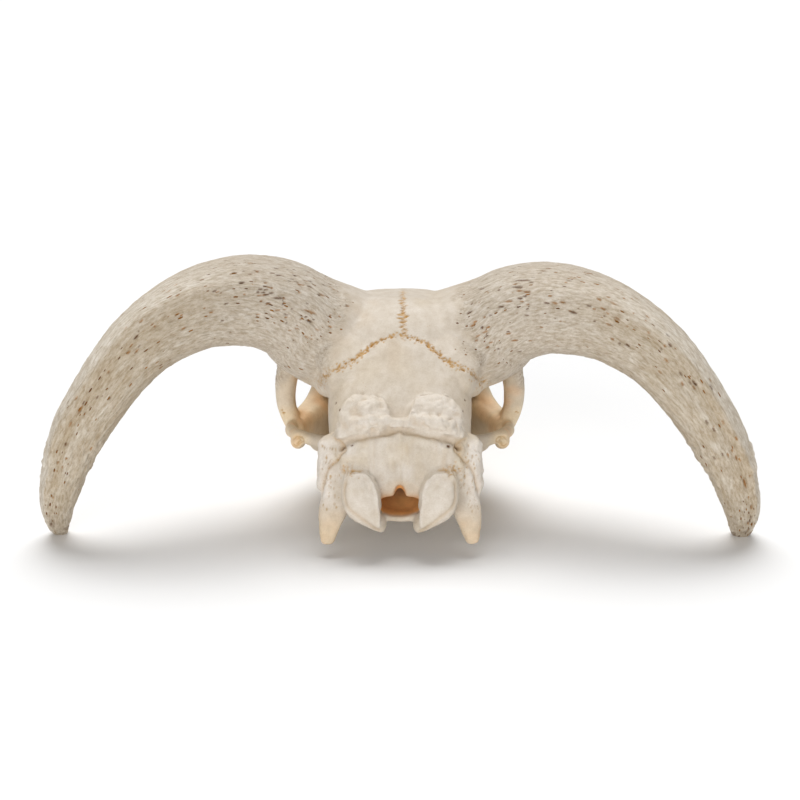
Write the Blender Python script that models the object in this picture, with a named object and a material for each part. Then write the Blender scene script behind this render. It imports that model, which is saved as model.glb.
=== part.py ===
"""Ram skull with its bare horn cores and no lower jaw, at rest on its cheek teeth and horn-core tips.

Metres, +Z up. The muzzle points along +Y and the animal's right side is +X. The shapes are worked out
in millimetres, with the floor at z = 0 and y = 0 under the tips of the paroccipital processes, and they
are moved at the end so that the origin is the middle of the bounding box's underside.
"""

import math

import bmesh
import bpy
from mathutils import Matrix, Vector

MM = 0.001

# Driving sizes, in millimetres
HORN_SPAN = 376.0           # across the outer curves of both horn cores
HORN_RISE = 3.2             # by which the left arc stands higher than the mean, and the right one lower
BRAINCASE_WIDTH = 74.0      # in the temporal fossae
MASTOID_WIDTH = 84.0        # across the ear region
CONDYLE_SPAN = 58.0         # across both occipital condyles
CREST_HEIGHT = 68.0         # nuchal crest above the floor
FOREHEAD_HEIGHT = 120.5     # frontal bones between the horn cores, above the floor
MUZZLE_END = 249.0          # premaxilla tips
ORBIT_CENTRE = Vector((51.0, 117.0, 66.0))
ORBIT_RADIUS = 23.0         # to the middle of the bony rim
ORBIT_FACING = Vector((0.88, 0.42, 0.14)).normalized()
TOOTH_ROW_REAR = (29.0, 104.0)     # x and y of the last molar
TOOTH_ROW_FRONT = (22.5, 180.0)    # x and y of the first premolar
ORIGIN = Vector((0.0, 116.5, 0.0))

GAP = 0.3                   # between neighbouring nodes
VOXEL = 1.4                 # size of the cells that fuse overlapping bones
ROUNDING = 5                # smoothing passes after fusing
SKULL_TRIANGLES = 11000     # kept on the whole skull before the thin cuts

# Where the bones meet: points and directions of the thin cuts, for the right side
HORN_BASE = (Vector((47.0, 78.0, 103.0)), Vector((0.86, -0.22, 0.46)))
CORONAL_ARM = (Vector((0.0, 45.0, 108.0)), Vector((0.55, 0.54, 0.638)))
CORONAL_BASE = (Vector((0.0, 80.0, 40.0)), Vector((0.0, 0.942, 0.336)))
NUCHAL = (Vector((0.0, 9.0, 70.0)), Vector((0.0, 0.985, 0.17)))
NASOFRONTAL = (Vector((0.0, 136.0, 100.0)), Vector((0.0, 0.87, -0.49)))
PREMAXILLARY = (Vector((0.0, 203.0, 20.0)), Vector((0.0, 0.94, 0.34)))


# Meshes

def new_object(name, bm):
    """A scene object from a bmesh in millimetres."""
    bmesh.ops.recalc_face_normals(bm, faces=bm.faces)
    bmesh.ops.scale(bm, vec=(MM, MM, MM), verts=bm.verts)
    mesh = bpy.data.meshes.new(name)
    bm.to_mesh(mesh)
    bm.free()
    made = bpy.data.objects.new(name, mesh)
    bpy.context.scene.collection.objects.link(made)
    return made


def between(rows, t):
    """Catmull-Rom value of a list of number rows at t, counted in spans from the first row."""
    last = len(rows) - 1
    i = min(int(t), last - 1)
    f = t - i
    a, b, c, d = (rows[max(0, min(last, k))] for k in (i - 1, i, i + 1, i + 2))
    return [
        0.5 * (2 * q + (r - p) * f + (2 * p - 5 * q + 4 * r - s) * f * f + (3 * q - p - 3 * r + s) * f**3)
        for p, q, r, s in zip(a, b, c, d)
    ]


def resampled(rows, steps):
    """The rows with each span divided into steps."""
    count = (len(rows) - 1) * steps
    return [between(rows, k / steps) for k in range(count + 1)]


def skinned(name, rings, closed=False):
    """A mesh over rings of points, whose ends meet or are each closed by a fan."""
    bm = bmesh.new()
    loops = [[bm.verts.new(p) for p in ring] for ring in rings]
    sides = len(loops[0])
    follows = loops[1:] + loops[:1] if closed else loops[1:]
    for low, high in zip(loops, follows):
        for k in range(sides):
            n = (k + 1) % sides
            bm.faces.new((low[k], low[n], high[n], high[k]))
    for loop in () if closed else (loops[0], loops[-1]):
        middle = bm.verts.new(sum((v.co for v in loop), Vector()) / sides)
        for k in range(sides):
            bm.faces.new((loop[k], loop[(k + 1) % sides], middle))
    return new_object(name, bm)


def power_of(angle, power):
    """Cosine and sine of an angle, squared off by a superellipse's power."""
    c, s = math.cos(angle), math.sin(angle)
    e = 2.0 / power
    return math.copysign(abs(c) ** e, c), math.copysign(abs(s) ** e, s)


def hull(name, stations, steps=4, sides=36):
    """A body along Y. A station is (y, lowest z, highest z, half width, flare upwards, squareness)."""
    rings = []
    for y, low, high, half, flare, power in resampled(stations, steps):
        mid, rise = (low + high) / 2, (high - low) / 2
        ring = []
        for k in range(sides):
            c, s = power_of(2 * math.pi * k / sides, power)
            ring.append((half * c * (1 + flare * s), y, mid + rise * s))
        rings.append(ring)
    return skinned(name, rings)


def section(point, along, wide, a, b):
    """A bar's cross-section: its point, its direction, both axes and both half sizes."""
    u = (wide - along * wide.dot(along)).normalized()
    return point, along, u, along.cross(u), a, b


def outline(cut, sides, power):
    """Points round a bar's cross-section."""
    point, _, u, v, a, b = cut
    ring = []
    for k in range(sides):
        c, s = power_of(2 * math.pi * k / sides, power)
        ring.append(point + u * (a * c) + v * (b * s))
    return ring


def bar(name, stations, wide=(0, 0, 1), steps=5, sides=16, power=2.2):
    """A round-ended body along a path. A station is (x, y, z, half size along wide, half size across)."""
    rows = resampled(stations, steps)
    points = [Vector(row[:3]) for row in rows]
    last = len(points) - 1
    cuts = []
    for i, (point, row) in enumerate(zip(points, rows)):
        along = (points[min(i + 1, last)] - points[max(i - 1, 0)]).normalized()
        cuts.append(section(point, along, Vector(wide), row[3], row[4]))
    cuts = rounded_end(cuts[0], -1)[::-1] + cuts + rounded_end(cuts[-1], 1)
    return skinned(name, [outline(cut, sides, power) for cut in cuts])


def rounded_end(cut, way):
    """Three smaller cross-sections past a bar's end, which round it off."""
    point, along, u, v, a, b = cut
    reach = min(a, b)
    added = []
    for share in (0.5, 0.8, 0.95):
        size = math.sqrt(1 - share * share)
        added.append((point + along * (way * reach * share), along, u, v, a * size, b * size))
    return added


def blob(name, centre, radii, turn=(0, 0, 0)):
    """An ellipsoid, turned about its centre by degrees round X, Y and Z."""
    bm = bmesh.new()
    bmesh.ops.create_icosphere(bm, subdivisions=3, radius=1.0)
    spin = Matrix.Identity(3)
    for axis, degrees in zip("XYZ", turn):
        spin = Matrix.Rotation(math.radians(degrees), 3, axis) @ spin
    shape = Matrix.Translation(centre) @ spin.to_4x4() @ Matrix.Diagonal((*radii, 1.0))
    bmesh.ops.transform(bm, matrix=shape, verts=bm.verts)
    return new_object(name, bm)


def slab(name, profile, half_width):
    """A profile of (y, z) points extruded both ways along X."""
    bm = bmesh.new()
    face = bm.faces.new([bm.verts.new((-half_width, y, z)) for y, z in profile])
    moved = bmesh.ops.extrude_face_region(bm, geom=[face])["geom"]
    verts = [v for v in moved if isinstance(v, bmesh.types.BMVert)]
    bmesh.ops.translate(bm, vec=(2 * half_width, 0, 0), verts=verts)
    return new_object(name, bm)


def both(source):
    """An object and its mirror image in the skull's middle plane."""
    bm = bmesh.new()
    bm.from_mesh(source.data)
    bmesh.ops.scale(bm, vec=(-1 / MM, 1 / MM, 1 / MM), verts=bm.verts)
    return [source, new_object(source.name + "_other", bm)]


# Solids

def applied(target):
    """Replaces an object's mesh by its evaluated one and drops its modifiers."""
    graph = bpy.context.evaluated_depsgraph_get()
    mesh = bpy.data.meshes.new_from_object(target.evaluated_get(graph))
    target.modifiers.clear()
    target.data = mesh
    return target


def united(name, pieces):
    """One closed body from overlapping ones, of which only the first is left."""
    base, *others = pieces
    group = bpy.data.collections.new(name)
    for piece in others:
        group.objects.link(piece)
    union = base.modifiers.new("union", "BOOLEAN")
    union.operand_type = "COLLECTION"
    union.collection = group
    union.operation = "UNION"
    union.solver = "MANIFOLD"
    applied(base)
    for piece in others:
        bpy.data.objects.remove(piece)
    bpy.data.collections.remove(group)
    base.name = name
    return base


def fused(name, pieces, passes=ROUNDING):
    """Overlapping bodies melted into one skin, with its creases filled by smoothing."""
    made = united(name, pieces)
    remesh = made.modifiers.new("fuse", "REMESH")
    remesh.mode = "VOXEL"
    remesh.voxel_size = VOXEL * MM
    smooth = made.modifiers.new("fillet", "SMOOTH")
    smooth.factor = 0.5
    smooth.iterations = passes
    return applied(made)


def boolean(target, other, operation):
    """Cuts or crosses a target with another object, which is removed."""
    cut = target.modifiers.new("cut", "BOOLEAN")
    cut.operation = operation
    cut.solver = "MANIFOLD"
    cut.object = other
    applied(target)
    bpy.data.objects.remove(other)
    return target


def thinned(body, triangles):
    """Collapses a body's fine mesh to about a number of triangles."""
    collapse = body.modifiers.new("thin", "DECIMATE")
    collapse.ratio = triangles / sum(len(face.vertices) - 2 for face in body.data.polygons)
    collapse.use_collapse_triangulate = True
    return applied(body)


def block(planes, grow=0.0):
    """A convex block behind some planes, each a point and an outward direction."""
    bm = bmesh.new()
    bmesh.ops.create_cube(bm, size=1200.0)
    for point, outward in planes:
        normal = outward.normalized()
        everything = bm.verts[:] + bm.edges[:] + bm.faces[:]
        cut = bmesh.ops.bisect_plane(
            bm, geom=everything, plane_co=point + normal * grow, plane_no=normal, clear_outer=True)
        rim = [edge for edge in cut["geom_cut"] if isinstance(edge, bmesh.types.BMEdge)]
        bmesh.ops.contextual_create(bm, geom=rim)
    return new_object("block", bm)


def taken(body, name, planes):
    """Moves what lies inside a block to a new object and leaves a thin gap round the block."""
    inside = bpy.data.objects.new(name, body.data.copy())
    bpy.context.scene.collection.objects.link(inside)
    boolean(inside, block(planes), "INTERSECT")
    boolean(body, block(planes, GAP), "DIFFERENCE")
    return inside


def bodies_of(bm):
    """Groups of a mesh's faces that hang together."""
    waiting = set(bm.faces)
    groups = []
    while waiting:
        group = [waiting.pop()]
        for face in group:
            touching = {other for edge in face.edges for other in edge.link_faces} & waiting
            waiting -= touching
            group.extend(sorted(touching, key=lambda other: other.index))
        groups.append(group)
    return groups


def finished(body, name, colour, roughness):
    """Keeps a node's largest closed surface, moves it to the final frame and gives it its material."""
    bm = bmesh.new()
    bm.from_mesh(body.data)
    groups = sorted(bodies_of(bm), key=lambda group: sum(face.calc_area() for face in group))
    loose = [face for group in groups[:-1] for face in group]
    bmesh.ops.delete(bm, geom=loose, context="FACES")
    bmesh.ops.dissolve_degenerate(bm, dist=0.01 * MM, edges=bm.edges[:])
    bmesh.ops.triangulate(bm, faces=bm.faces[:])
    bmesh.ops.translate(bm, vec=-ORIGIN * MM, verts=bm.verts)
    mesh = bpy.data.meshes.new(name)
    bm.to_mesh(mesh)
    bm.free()
    body.data = mesh
    body.name = name
    material = bpy.data.materials.new(name + "_bone")
    material.use_nodes = True
    shader = material.node_tree.nodes["Principled BSDF"]
    shader.inputs["Base Color"].default_value = (*colour, 1.0)
    shader.inputs["Roughness"].default_value = roughness
    shader.inputs["Metallic"].default_value = 0.0
    mesh.materials.append(material)


# Bones of the braincase

def braincase():
    half = BRAINCASE_WIDTH / 2
    return [
        hull("vault", (
            (6, 30, CREST_HEIGHT - 2, half - 5, -0.05, 3.0),
            (14, 28, 77, half - 1.5, -0.02, 2.7),
            (27, 29, 92, half - 0.5, 0.0, 2.5),
            (40, 31, 105, half, 0.0, 2.5),
            (58, 33, 113, half - 2, 0.0, 2.5),
            (78, 38, 116, half - 8, 0.0, 2.5),
            (98, 42, 112, half - 12, 0.0, 2.5),
            (114, 46, 104, half - 16, 0.0, 2.5),
        )),
        hull("shoulders", (
            (30, 84, 92, 31, 0.0, 2.2),
            (37, 81, 100, 40, 0.04, 2.1),
            (47, 78, 108, 45.5, 0.08, 2.1),
            (60, 77, 113, 48, 0.06, 2.2),
            (76, 78, 116, 48, 0.0, 2.4),
            (92, 80, 114, 45, -0.08, 2.4),
            (106, 84, 112, 38, -0.08, 2.4),
        )),
        *both(bar("temporal_line", (
            (32.5, 34, 84, 8, 5),
            (35.5, 46, 83, 9, 6.5),
            (37, 60, 80, 11, 8.5),
            (37, 80, 80, 12, 9),
            (33, 96, 80, 12, 8),
        ), steps=4)),
        *both(blob("orbit_wall", (27, 98, 60), (9, 15, 24))),
        hull("skull_base", (
            (-1, 18.5, 24, 9, 0.0, 2.6),
            (12, 20, 34, 12, 0.0, 2.6),
            (34, 25, 42, 12, 0.0, 2.4),
            (60, 31, 46, 11, 0.0, 2.4),
            (92, 36, 50, 11, 0.0, 2.4),
        )),
    ]


def occipital():
    """The plate behind the braincase, with its crest, condyles and processes."""
    side = MASTOID_WIDTH / 2
    outer = CONDYLE_SPAN / 2
    plate = hull("plate", (
        (0, 34, CREST_HEIGHT - 4, side - 13, -0.12, 3.0),
        (6, 27, CREST_HEIGHT, side - 7, -0.10, 3.2),
        (16, 26, CREST_HEIGHT + 2, side - 4, -0.10, 3.2),
    ), sides=32)
    crest = bar("crest", (
        (-side + 8, 13, 53, 2.6, 2.6),
        (-side + 11, 9, 62, 3.0, 3.0),
        (-19, 3.5, CREST_HEIGHT + 1.5, 4.6, 3.2),
        (0, 5.5, CREST_HEIGHT + 2.5, 2.6, 2.6),
        (19, 3.5, CREST_HEIGHT + 1.5, 4.6, 3.2),
        (side - 11, 9, 62, 3.0, 3.0),
        (side - 8, 13, 53, 2.6, 2.6),
    ), wide=(0, -0.6, 1), steps=4)
    pads = both(blob("pad", (18, 9.5, CREST_HEIGHT + 4.5), (14.5, 4.2, 11), turn=(-32, 0, 0)))
    condyles = both(bar("condyle", (
        (outer - 6.5, 3, 45, 6.5, 5.0),
        (outer - 8.5, -4, 38, 9.5, 7.0),
        (outer - 10.5, -6, 30, 10.0, 7.0),
        (outer - 15.8, -5.5, 22.5, 6.0, 6.0),
        (outer - 19.8, -4, 17.5, 2.6, 4.2),
    ), wide=(1, 0, 0.35), steps=4, power=2.5))
    condyle_roots = both(blob("condyle_root", (outer - 10, 8, 34), (12, 10, 11)))
    wings = both(bar("wing", (
        (outer - 9, 9, 38, 10, 6.0),
        (side - 14, 8.5, 37, 12, 5.5),
        (side - 7, 9.5, 42, 12, 5.5),
    ), steps=3))
    processes = both(bar("process", (
        (side - 11, 11, 42, 8.5, 5.0),
        (side - 9.8, 8, 30, 9.0, 4.6),
        (side - 7.0, 4, 21, 7.0, 3.9),
        (side - 5.0, 0.5, 9.5, 4.0, 3.2),
    ), wide=(1, 0, 0), steps=4, power=2.6))
    mastoids = both(bar("mastoid", (
        (side - 6.5, 14, 55, 6.5, 6.5),
        (side - 6.5, 11.5, 45, 7.0, 8.0),
        (side - 7.5, 10, 33, 6.5, 7.0),
    ), wide=(1, 0, 0), steps=3))
    return [plate, crest, *pads, *condyles, *condyle_roots, *wings, *processes, *mastoids]


def ears():
    """Auditory bullae and the short tubes of the outer ear."""
    bullae = both(blob("bulla", (21, 34, 30), (8.5, 13, 10), turn=(0, 0, 12)))
    tubes = both(bar("ear_tube", ((24, 33, 38, 6.0, 6.0), (35.5, 31, 43, 5.2, 5.2)), steps=2))
    return [*bullae, *tubes]


def pterygoids():
    """The thin upright plates beside the inner nostrils."""
    return both(bar("pterygoid", (
        (10.5, 88, 42, 11, 2.2),
        (11, 98, 34, 12, 2.2),
        (11.5, 108, 27, 10, 2.6),
        (12, 118, 24, 7, 3.2),
    ), wide=(0, 0.55, 1), steps=3))


# Bones of the face

def frontals():
    dome = blob("dome", (0, 72, 92), (48, 36, FOREHEAD_HEIGHT - 92))
    slope = hull("forehead", (
        (62, 84, FOREHEAD_HEIGHT - 3, 34, 0.0, 2.8),
        (84, 82, FOREHEAD_HEIGHT - 1, 34, 0.0, 3.0),
        (104, 78, 117, 33, -0.05, 3.0),
        (124, 68, 108, 31, -0.10, 2.7),
        (146, 50, 96, 27, -0.15, 2.5),
    ))
    brows = both(bar("brow", (
        (18, 106, 101, 22, 9),
        (38, 108, 94, 21, 8),
        (52, 110, 87, 14, 5),
    ), wide=(0, 1, -0.15), steps=4))
    return [dome, slope, *brows]


def face():
    """Maxillae, lacrimals and palate in one body, down to the roots of the cheek teeth."""
    body = hull("face", (
        (93, 26, 60, 24, -0.04, 2.6),
        (102, 17, 66, 33, -0.02, 2.6),
        (116, 12, 76, 36.5, -0.04, 2.7),
        (134, 11, 98, 37, -0.12, 2.5),
        (150, 11, 92, 34, -0.24, 2.4),
        (168, 12, 83, 29.5, -0.26, 2.4),
        (184, 13, 74, 25, -0.20, 2.4),
        (200, 13, 63, 20, -0.10, 2.5),
        (220, 10, 48, 17, 0.0, 2.6),
        (238, 6, 34, 15.5, 0.0, 2.6),
        (MUZZLE_END - 3, 5, 19, 13.5, 0.0, 2.6),
    ))
    lacrimals = both(blob("lacrimal", (33, 132, 68), (11, 16, 21), turn=(0, 0, 20)))
    sockets = both(bar("tooth_sockets", (
        (29.5, 102, 25, 12, 8.5),
        (29, 118, 22, 10.5, 9.5),
        (27, 144, 21, 10, 8.5),
        (24, 168, 21, 9, 6.5),
        (19, 188, 22, 7, 4.5),
    ), steps=4, power=2.4))
    return [body, *lacrimals, *sockets]


def nasals():
    """Roof of the nose, whose two points stand free in front."""
    return both(bar("nasal", (
        (8, 126, 103, 9.5, 4.0),
        (8.5, 150, 93, 10, 4.2),
        (8.5, 180, 78, 9.5, 4.0),
        (8, 204, 64, 8.5, 3.6),
        (6.8, 222, 52.5, 5.6, 3.0),
        (5.4, 231, 46.5, 3.0, 2.2),
    ), wide=(1, 0, 0), steps=4))


def tooth_rows():
    """Six cheek teeth a side, three premolars and three molars, growing larger to the rear."""
    lengths = (9.5, 11.0, 12.0, 14.0, 16.5, 17.0)
    widths = (8.0, 10.0, 11.5, 13.0, 13.5, 12.0)
    total = sum(lengths)
    rear, front = Vector(TOOTH_ROW_REAR), Vector(TOOTH_ROW_FRONT)
    made = []
    done = 0.0
    for number, (length, width) in enumerate(zip(lengths, widths)):
        middle = front.lerp(rear, (done + length / 2) / total)
        done += length
        lobes = 1 if number < 3 else 2
        for lobe in range(lobes):
            y = middle.y + (lobe - (lobes - 1) / 2) * length / lobes
            made += both(tooth_lobe(middle.x, y, length / lobes / 2 + 0.2, width / 2))
    return made


def tooth_lobe(x, y, half_length, half_width):
    """One column of a cheek tooth, which the floor cuts flat where it is worn."""
    rings = []
    for z, size in ((20.0, 0.80), (13.0, 0.92), (6.0, 1.0), (-2.0, 0.97)):
        ring = []
        for k in range(14):
            c, s = power_of(2 * math.pi * k / 14, 2.1)
            ring.append((x + half_width * size * c, y + half_length * size * s, z))
        rings.append(ring)
    return skinned("tooth", rings)


# Arches and rims, which cross the open spaces

def orbit_frame():
    """Directions within the orbit's rim: to the rear, and up."""
    rear = Vector((0, 0, 1)).cross(ORBIT_FACING).normalized()
    rear = -rear if rear.y > 0 else rear
    return rear, (Vector((0, 0, 1)) - ORBIT_FACING * ORBIT_FACING.z).normalized()


def orbit_rims():
    """Raised rings round the eye sockets, thicker behind the eye."""
    rear, up = orbit_frame()
    turns = 28
    rings = []
    for k in range(turns):
        angle = 2 * math.pi * k / turns
        spoke = rear * math.cos(angle) + up * math.sin(angle)
        behind = max(0.0, math.cos(angle))
        along = rear * -math.sin(angle) + up * math.cos(angle)
        cut = section(ORBIT_CENTRE + spoke * ORBIT_RADIUS, along, ORBIT_FACING, 4.8 + 1.0 * behind,
                      3.6 + 0.6 * behind)
        rings.append(outline(cut, 12, 2.2))
    return both(skinned("orbit_rim", rings, closed=True))


def cheeks():
    """Postorbital bars, cheek bones and zygomatic arches."""
    bars = both(bar("postorbital", (
        (50, 84, 90, 12, 7),
        (58, 91, 80, 7.6, 5.5),
        (61.5, 94.5, 68, 5.6, 5.0),
        (61, 95, 55, 5.0, 5.0),
        (57.5, 95, 45, 4.6, 5.0),
    ), wide=(1, -0.2, 0), steps=4))
    cheekbones = both(bar("cheekbone", (
        (55, 88, 43.5, 4.5, 4.0),
        (54, 102, 40.5, 6.0, 4.5),
        (49, 118, 37.5, 9.0, 5.0),
        (41, 134, 37, 12, 5.0),
        (33, 150, 37, 10, 5.0),
    ), steps=4))
    arches = both(bar("arch", (
        (33, 44, 47.5, 4.4, 6.0),
        (44, 46, 49, 3.4, 4.6),
        (53, 53, 50, 3.0, 3.8),
        (57, 66, 48.5, 3.6, 3.0),
        (58, 80, 46, 4.0, 3.0),
        (57, 92, 43.5, 4.5, 3.2),
    ), steps=4))
    joints = both(blob("jaw_joint", (37.5, 50, 45.5), (9.5, 9, 4)))
    knobs = both(blob("arch_knob", (53.5, 54, 46.5), (4.2, 6, 4.2)))
    return [*bars, *cheekbones, *arches, *joints, *knobs]


# Openings

def openings():
    """Cutters for the foramen magnum, orbits, nose, inner nostrils and palate."""
    spinal = bar("spinal", (
        (0, -22, 19, 10.5, 5.0),
        (0, -8, 25.5, 10.5, 5.4),
        (0, 3, 27.0, 10.8, 5.0),
        (0, 11, 30.0, 11.0, 8.0),
        (0, 24, 38, 12.0, 10.5),
        (0, 40, 48, 13.0, 12.5),
    ), wide=(1, 0, 0), steps=3, sides=24)
    peak = blob("peak", (0, -3, 32), (3.5, 9, 6), turn=(25, 0, 0))
    nose = hull("nose", (
        (148, 42, 60, 8, 0.0, 2.4),
        (166, 31, 70, 17, -0.1, 2.4),
        (186, 28, 62, 17, -0.05, 2.4),
        (206, 23, 53, 14.5, 0.0, 2.4),
        (226, 17, 45, 12.5, 0.0, 2.4),
        (MUZZLE_END + 8, 13, 36, 11, 0.0, 2.4),
    ))
    notch = slab("notch", ((199, 60), (222, 51), (262, 34), (262, 12), (246, 15.5), (224, 27), (200, 45)), 40)
    inner_nostrils = hull("inner_nostrils", (
        (78, 14, 32, 9, 0.0, 2.6),
        (100, 13, 34, 9, 0.0, 2.6),
        (116, 15, 36, 9, 0.0, 2.6),
        (130, 25, 38, 8, 0.0, 2.6),
    ))
    palate = hull("palate", (
        (90, -8, 14, 15.0, 0.0, 2.6),
        (108, -8, 20, 20.5, 0.0, 2.6),
        (150, -8, 21.0, 19.5, 0.0, 2.6),
        (178, -8, 19.5, 16.0, 0.0, 2.6),
        (202, -8, 15.5, 12.0, 0.0, 2.6),
        (224, -8, 10.5, 9.0, 0.0, 2.6),
    ))
    slots = both(bar("slot", ((5.4, 210, 14, 14, 2.0), (5.2, 234, 10, 14, 1.8)), steps=2))
    gap = slab("front_gap", ((241, -5), (MUZZLE_END + 8, -5), (MUZZLE_END + 8, 40), (241, 40)), 1.3)
    return [spinal, peak, *both(socket()), nose, notch, inner_nostrils, palate, *slots, gap]


def socket():
    """The hollow of an orbit, which narrows inwards."""
    rear, up = orbit_frame()
    cuts = []
    for depth, size in ((-32, 0.55), (-24, 0.76), (-10, 0.88), (0, 0.9), (14, 1.2)):
        half = ORBIT_RADIUS * size
        cuts.append(section(ORBIT_CENTRE + ORBIT_FACING * depth, ORBIT_FACING, up, half, half))
    return skinned("socket", [outline(cut, 24, 2.1) for cut in cuts])


# Horn cores

def horn_stations():
    """Path and sizes of the right horn core: x, y, z, half thickness, half depth."""
    reach = HORN_SPAN / 2
    return (
        (22, 86, 91, 28, 37),
        (46, 79, 102.5, 26.5, 37),
        (63, 71, 113.5, 24.5, 36),
        (82, 60, 119.0, 22.5, 34),
        (103, 47, 118, 20.5, 31),
        (121, 35, 111, 18.8, 28),
        (136, 26, 100, 17.2, 25),
        (150, 20, 83, 15.8, 21.5),
        (reach - 25, 19, 62, 14.4, 18),
        (reach - 16.5, 23, 42, 12.2, 15),
        (reach - 10.8, 30, 22, 9.6, 11.4),
        (reach - 9.5, 38, 8, 6.6, 8.2),
        (reach - 9.8, 42, 2, 4.6, 5.8),
        (reach - 10.0, 44.5, -3, 2.4, 3.0),
    )


def horn(name, side, steps=4, sides=28):
    """A horn core, whose section is a rounded triangle with one blunt edge outwards."""
    rows = resampled(horn_stations(), steps)
    last = len(rows) - 1
    points = []
    for k, row in enumerate(rows):
        lift = -side * HORN_RISE * math.sin(math.pi * k / last)
        points.append(Vector((side * row[0], row[1], row[2] + lift)))
    rings = []
    for k, (point, row) in enumerate(zip(points, rows)):
        along = (points[min(k + 1, last)] - points[max(k - 1, 0)]).normalized()
        out = along.cross(Vector((0, side, 0))).normalized()
        away = out.cross(along)
        ring = []
        for n in range(sides):
            angle = 2 * math.pi * n / sides
            c, s = power_of(angle, 2.3)
            edge = 1 + 0.05 * math.cos(3 * (angle + side * math.radians(35)))
            ring.append(point + out * (row[3] * c * edge) + away * (row[4] * s * edge))
        rings.append(ring)
    return skinned(name, rings)


# Nodes

def mirrored(planes):
    """Planes of the right side carried over to the left."""
    flip = Vector((-1, 1, 1))
    return [(point * flip, outward * flip) for point, outward in planes]


def behind(plane):
    return [(plane[0], plane[1])]


def ahead(plane):
    return [(plane[0], -plane[1])]


def build():
    skull = fused("skull", [
        *braincase(), *occipital(), *ears(), *pterygoids(), *frontals(), *face(), *nasals(), *tooth_rows(),
        horn("horn_right", 1), horn("horn_left", -1),
    ], passes=2)
    boolean(skull, united("openings", openings()), "DIFFERENCE")
    skull = fused("skull", [skull, *orbit_rims(), *cheeks(), *nasals()])
    thinned(skull, SKULL_TRIANGLES)
    boolean(skull, block([(Vector(), Vector((0, 0, -1)))]), "INTERSECT")

    horn_side = ahead(HORN_BASE)
    horn_right = taken(skull, "horn_core_right", horn_side)
    horn_left = taken(skull, "horn_core_left", mirrored(horn_side))
    arm = behind(CORONAL_ARM)
    back = taken(skull, "braincase", [*arm, *mirrored(arm), *behind(CORONAL_BASE)])
    occiput = taken(back, "occiput", behind(NUCHAL))
    cheek_planes = [
        (Vector((39.5, 0, 0)), Vector((-1, 0, 0))),
        (Vector((0, 95, 56)), Vector((0, 0.12, 1))),
    ]
    cheek_right = taken(skull, "cheek_right", cheek_planes)
    cheek_left = taken(skull, "cheek_left", mirrored(cheek_planes))
    frontal = taken(skull, "frontal", behind(NASOFRONTAL))
    nasal_planes = [
        (Vector((18.5, 0, 0)), Vector((1, 0, 0))),
        (Vector((-18.5, 0, 0)), Vector((-1, 0, 0))),
        (Vector((0, 150, 88.5)), Vector((0, -0.45, -0.9))),
    ]
    nasal = taken(skull, "nasal_bones", nasal_planes)
    muzzle = ahead(PREMAXILLARY)
    premaxilla_right = taken(skull, "premaxilla_right", [*muzzle, (Vector(), Vector((-1, 0, 0)))])
    premaxilla_left = taken(skull, "premaxilla_left", muzzle)

    horn_colour, pale, warm = (0.54, 0.43, 0.30), (0.70, 0.65, 0.56), (0.66, 0.56, 0.42)
    finished(horn_right, "horn_core_right", horn_colour, 0.75)
    finished(horn_left, "horn_core_left", horn_colour, 0.75)
    finished(back, "braincase", pale, 0.6)
    finished(occiput, "occiput", pale, 0.65)
    finished(cheek_right, "cheek_right", warm, 0.6)
    finished(cheek_left, "cheek_left", warm, 0.6)
    finished(frontal, "frontal", pale, 0.6)
    finished(nasal, "nasal_bones", warm, 0.6)
    finished(premaxilla_right, "premaxilla_right", warm, 0.6)
    finished(premaxilla_left, "premaxilla_left", warm, 0.6)
    finished(skull, "upper_jaw", pale, 0.6)


for old in list(bpy.data.objects):
    bpy.data.objects.remove(old)
build()
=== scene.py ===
"""Looks of the ram skull: dry bone, grooved and pitted horn cores, sutures, foramina and worn cheek teeth.

Sizes are in millimetres, in the frame that the bones are worked out in: the floor at z = 0, and y = 0 under
the tips of the paroccipital processes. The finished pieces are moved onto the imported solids. One fine mesh
covers the whole skull. It is raised, lowered and painted point by point, then parted into the named bones.
"""

import math

import bmesh
import bpy
import numpy as np
from mathutils import Matrix, Vector
from mathutils.kdtree import KDTree


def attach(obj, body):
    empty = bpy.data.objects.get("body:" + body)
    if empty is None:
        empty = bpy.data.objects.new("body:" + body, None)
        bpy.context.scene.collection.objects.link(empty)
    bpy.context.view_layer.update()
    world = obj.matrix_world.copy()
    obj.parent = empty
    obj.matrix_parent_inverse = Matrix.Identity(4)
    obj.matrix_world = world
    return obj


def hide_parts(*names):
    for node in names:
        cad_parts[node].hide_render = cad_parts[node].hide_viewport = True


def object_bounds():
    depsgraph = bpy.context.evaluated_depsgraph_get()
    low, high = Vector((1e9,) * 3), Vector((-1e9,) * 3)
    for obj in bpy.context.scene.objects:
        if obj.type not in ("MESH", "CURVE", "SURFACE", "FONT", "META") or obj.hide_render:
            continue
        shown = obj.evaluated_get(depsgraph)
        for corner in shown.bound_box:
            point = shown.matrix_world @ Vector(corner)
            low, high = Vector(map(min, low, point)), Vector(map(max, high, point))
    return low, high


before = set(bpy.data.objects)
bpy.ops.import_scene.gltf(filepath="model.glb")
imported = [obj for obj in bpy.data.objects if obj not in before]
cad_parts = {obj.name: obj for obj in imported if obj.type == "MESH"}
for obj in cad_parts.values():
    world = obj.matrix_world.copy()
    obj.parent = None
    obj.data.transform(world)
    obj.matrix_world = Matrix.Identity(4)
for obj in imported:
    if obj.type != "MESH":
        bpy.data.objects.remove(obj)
cad_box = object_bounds()

MM = 0.001

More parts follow.
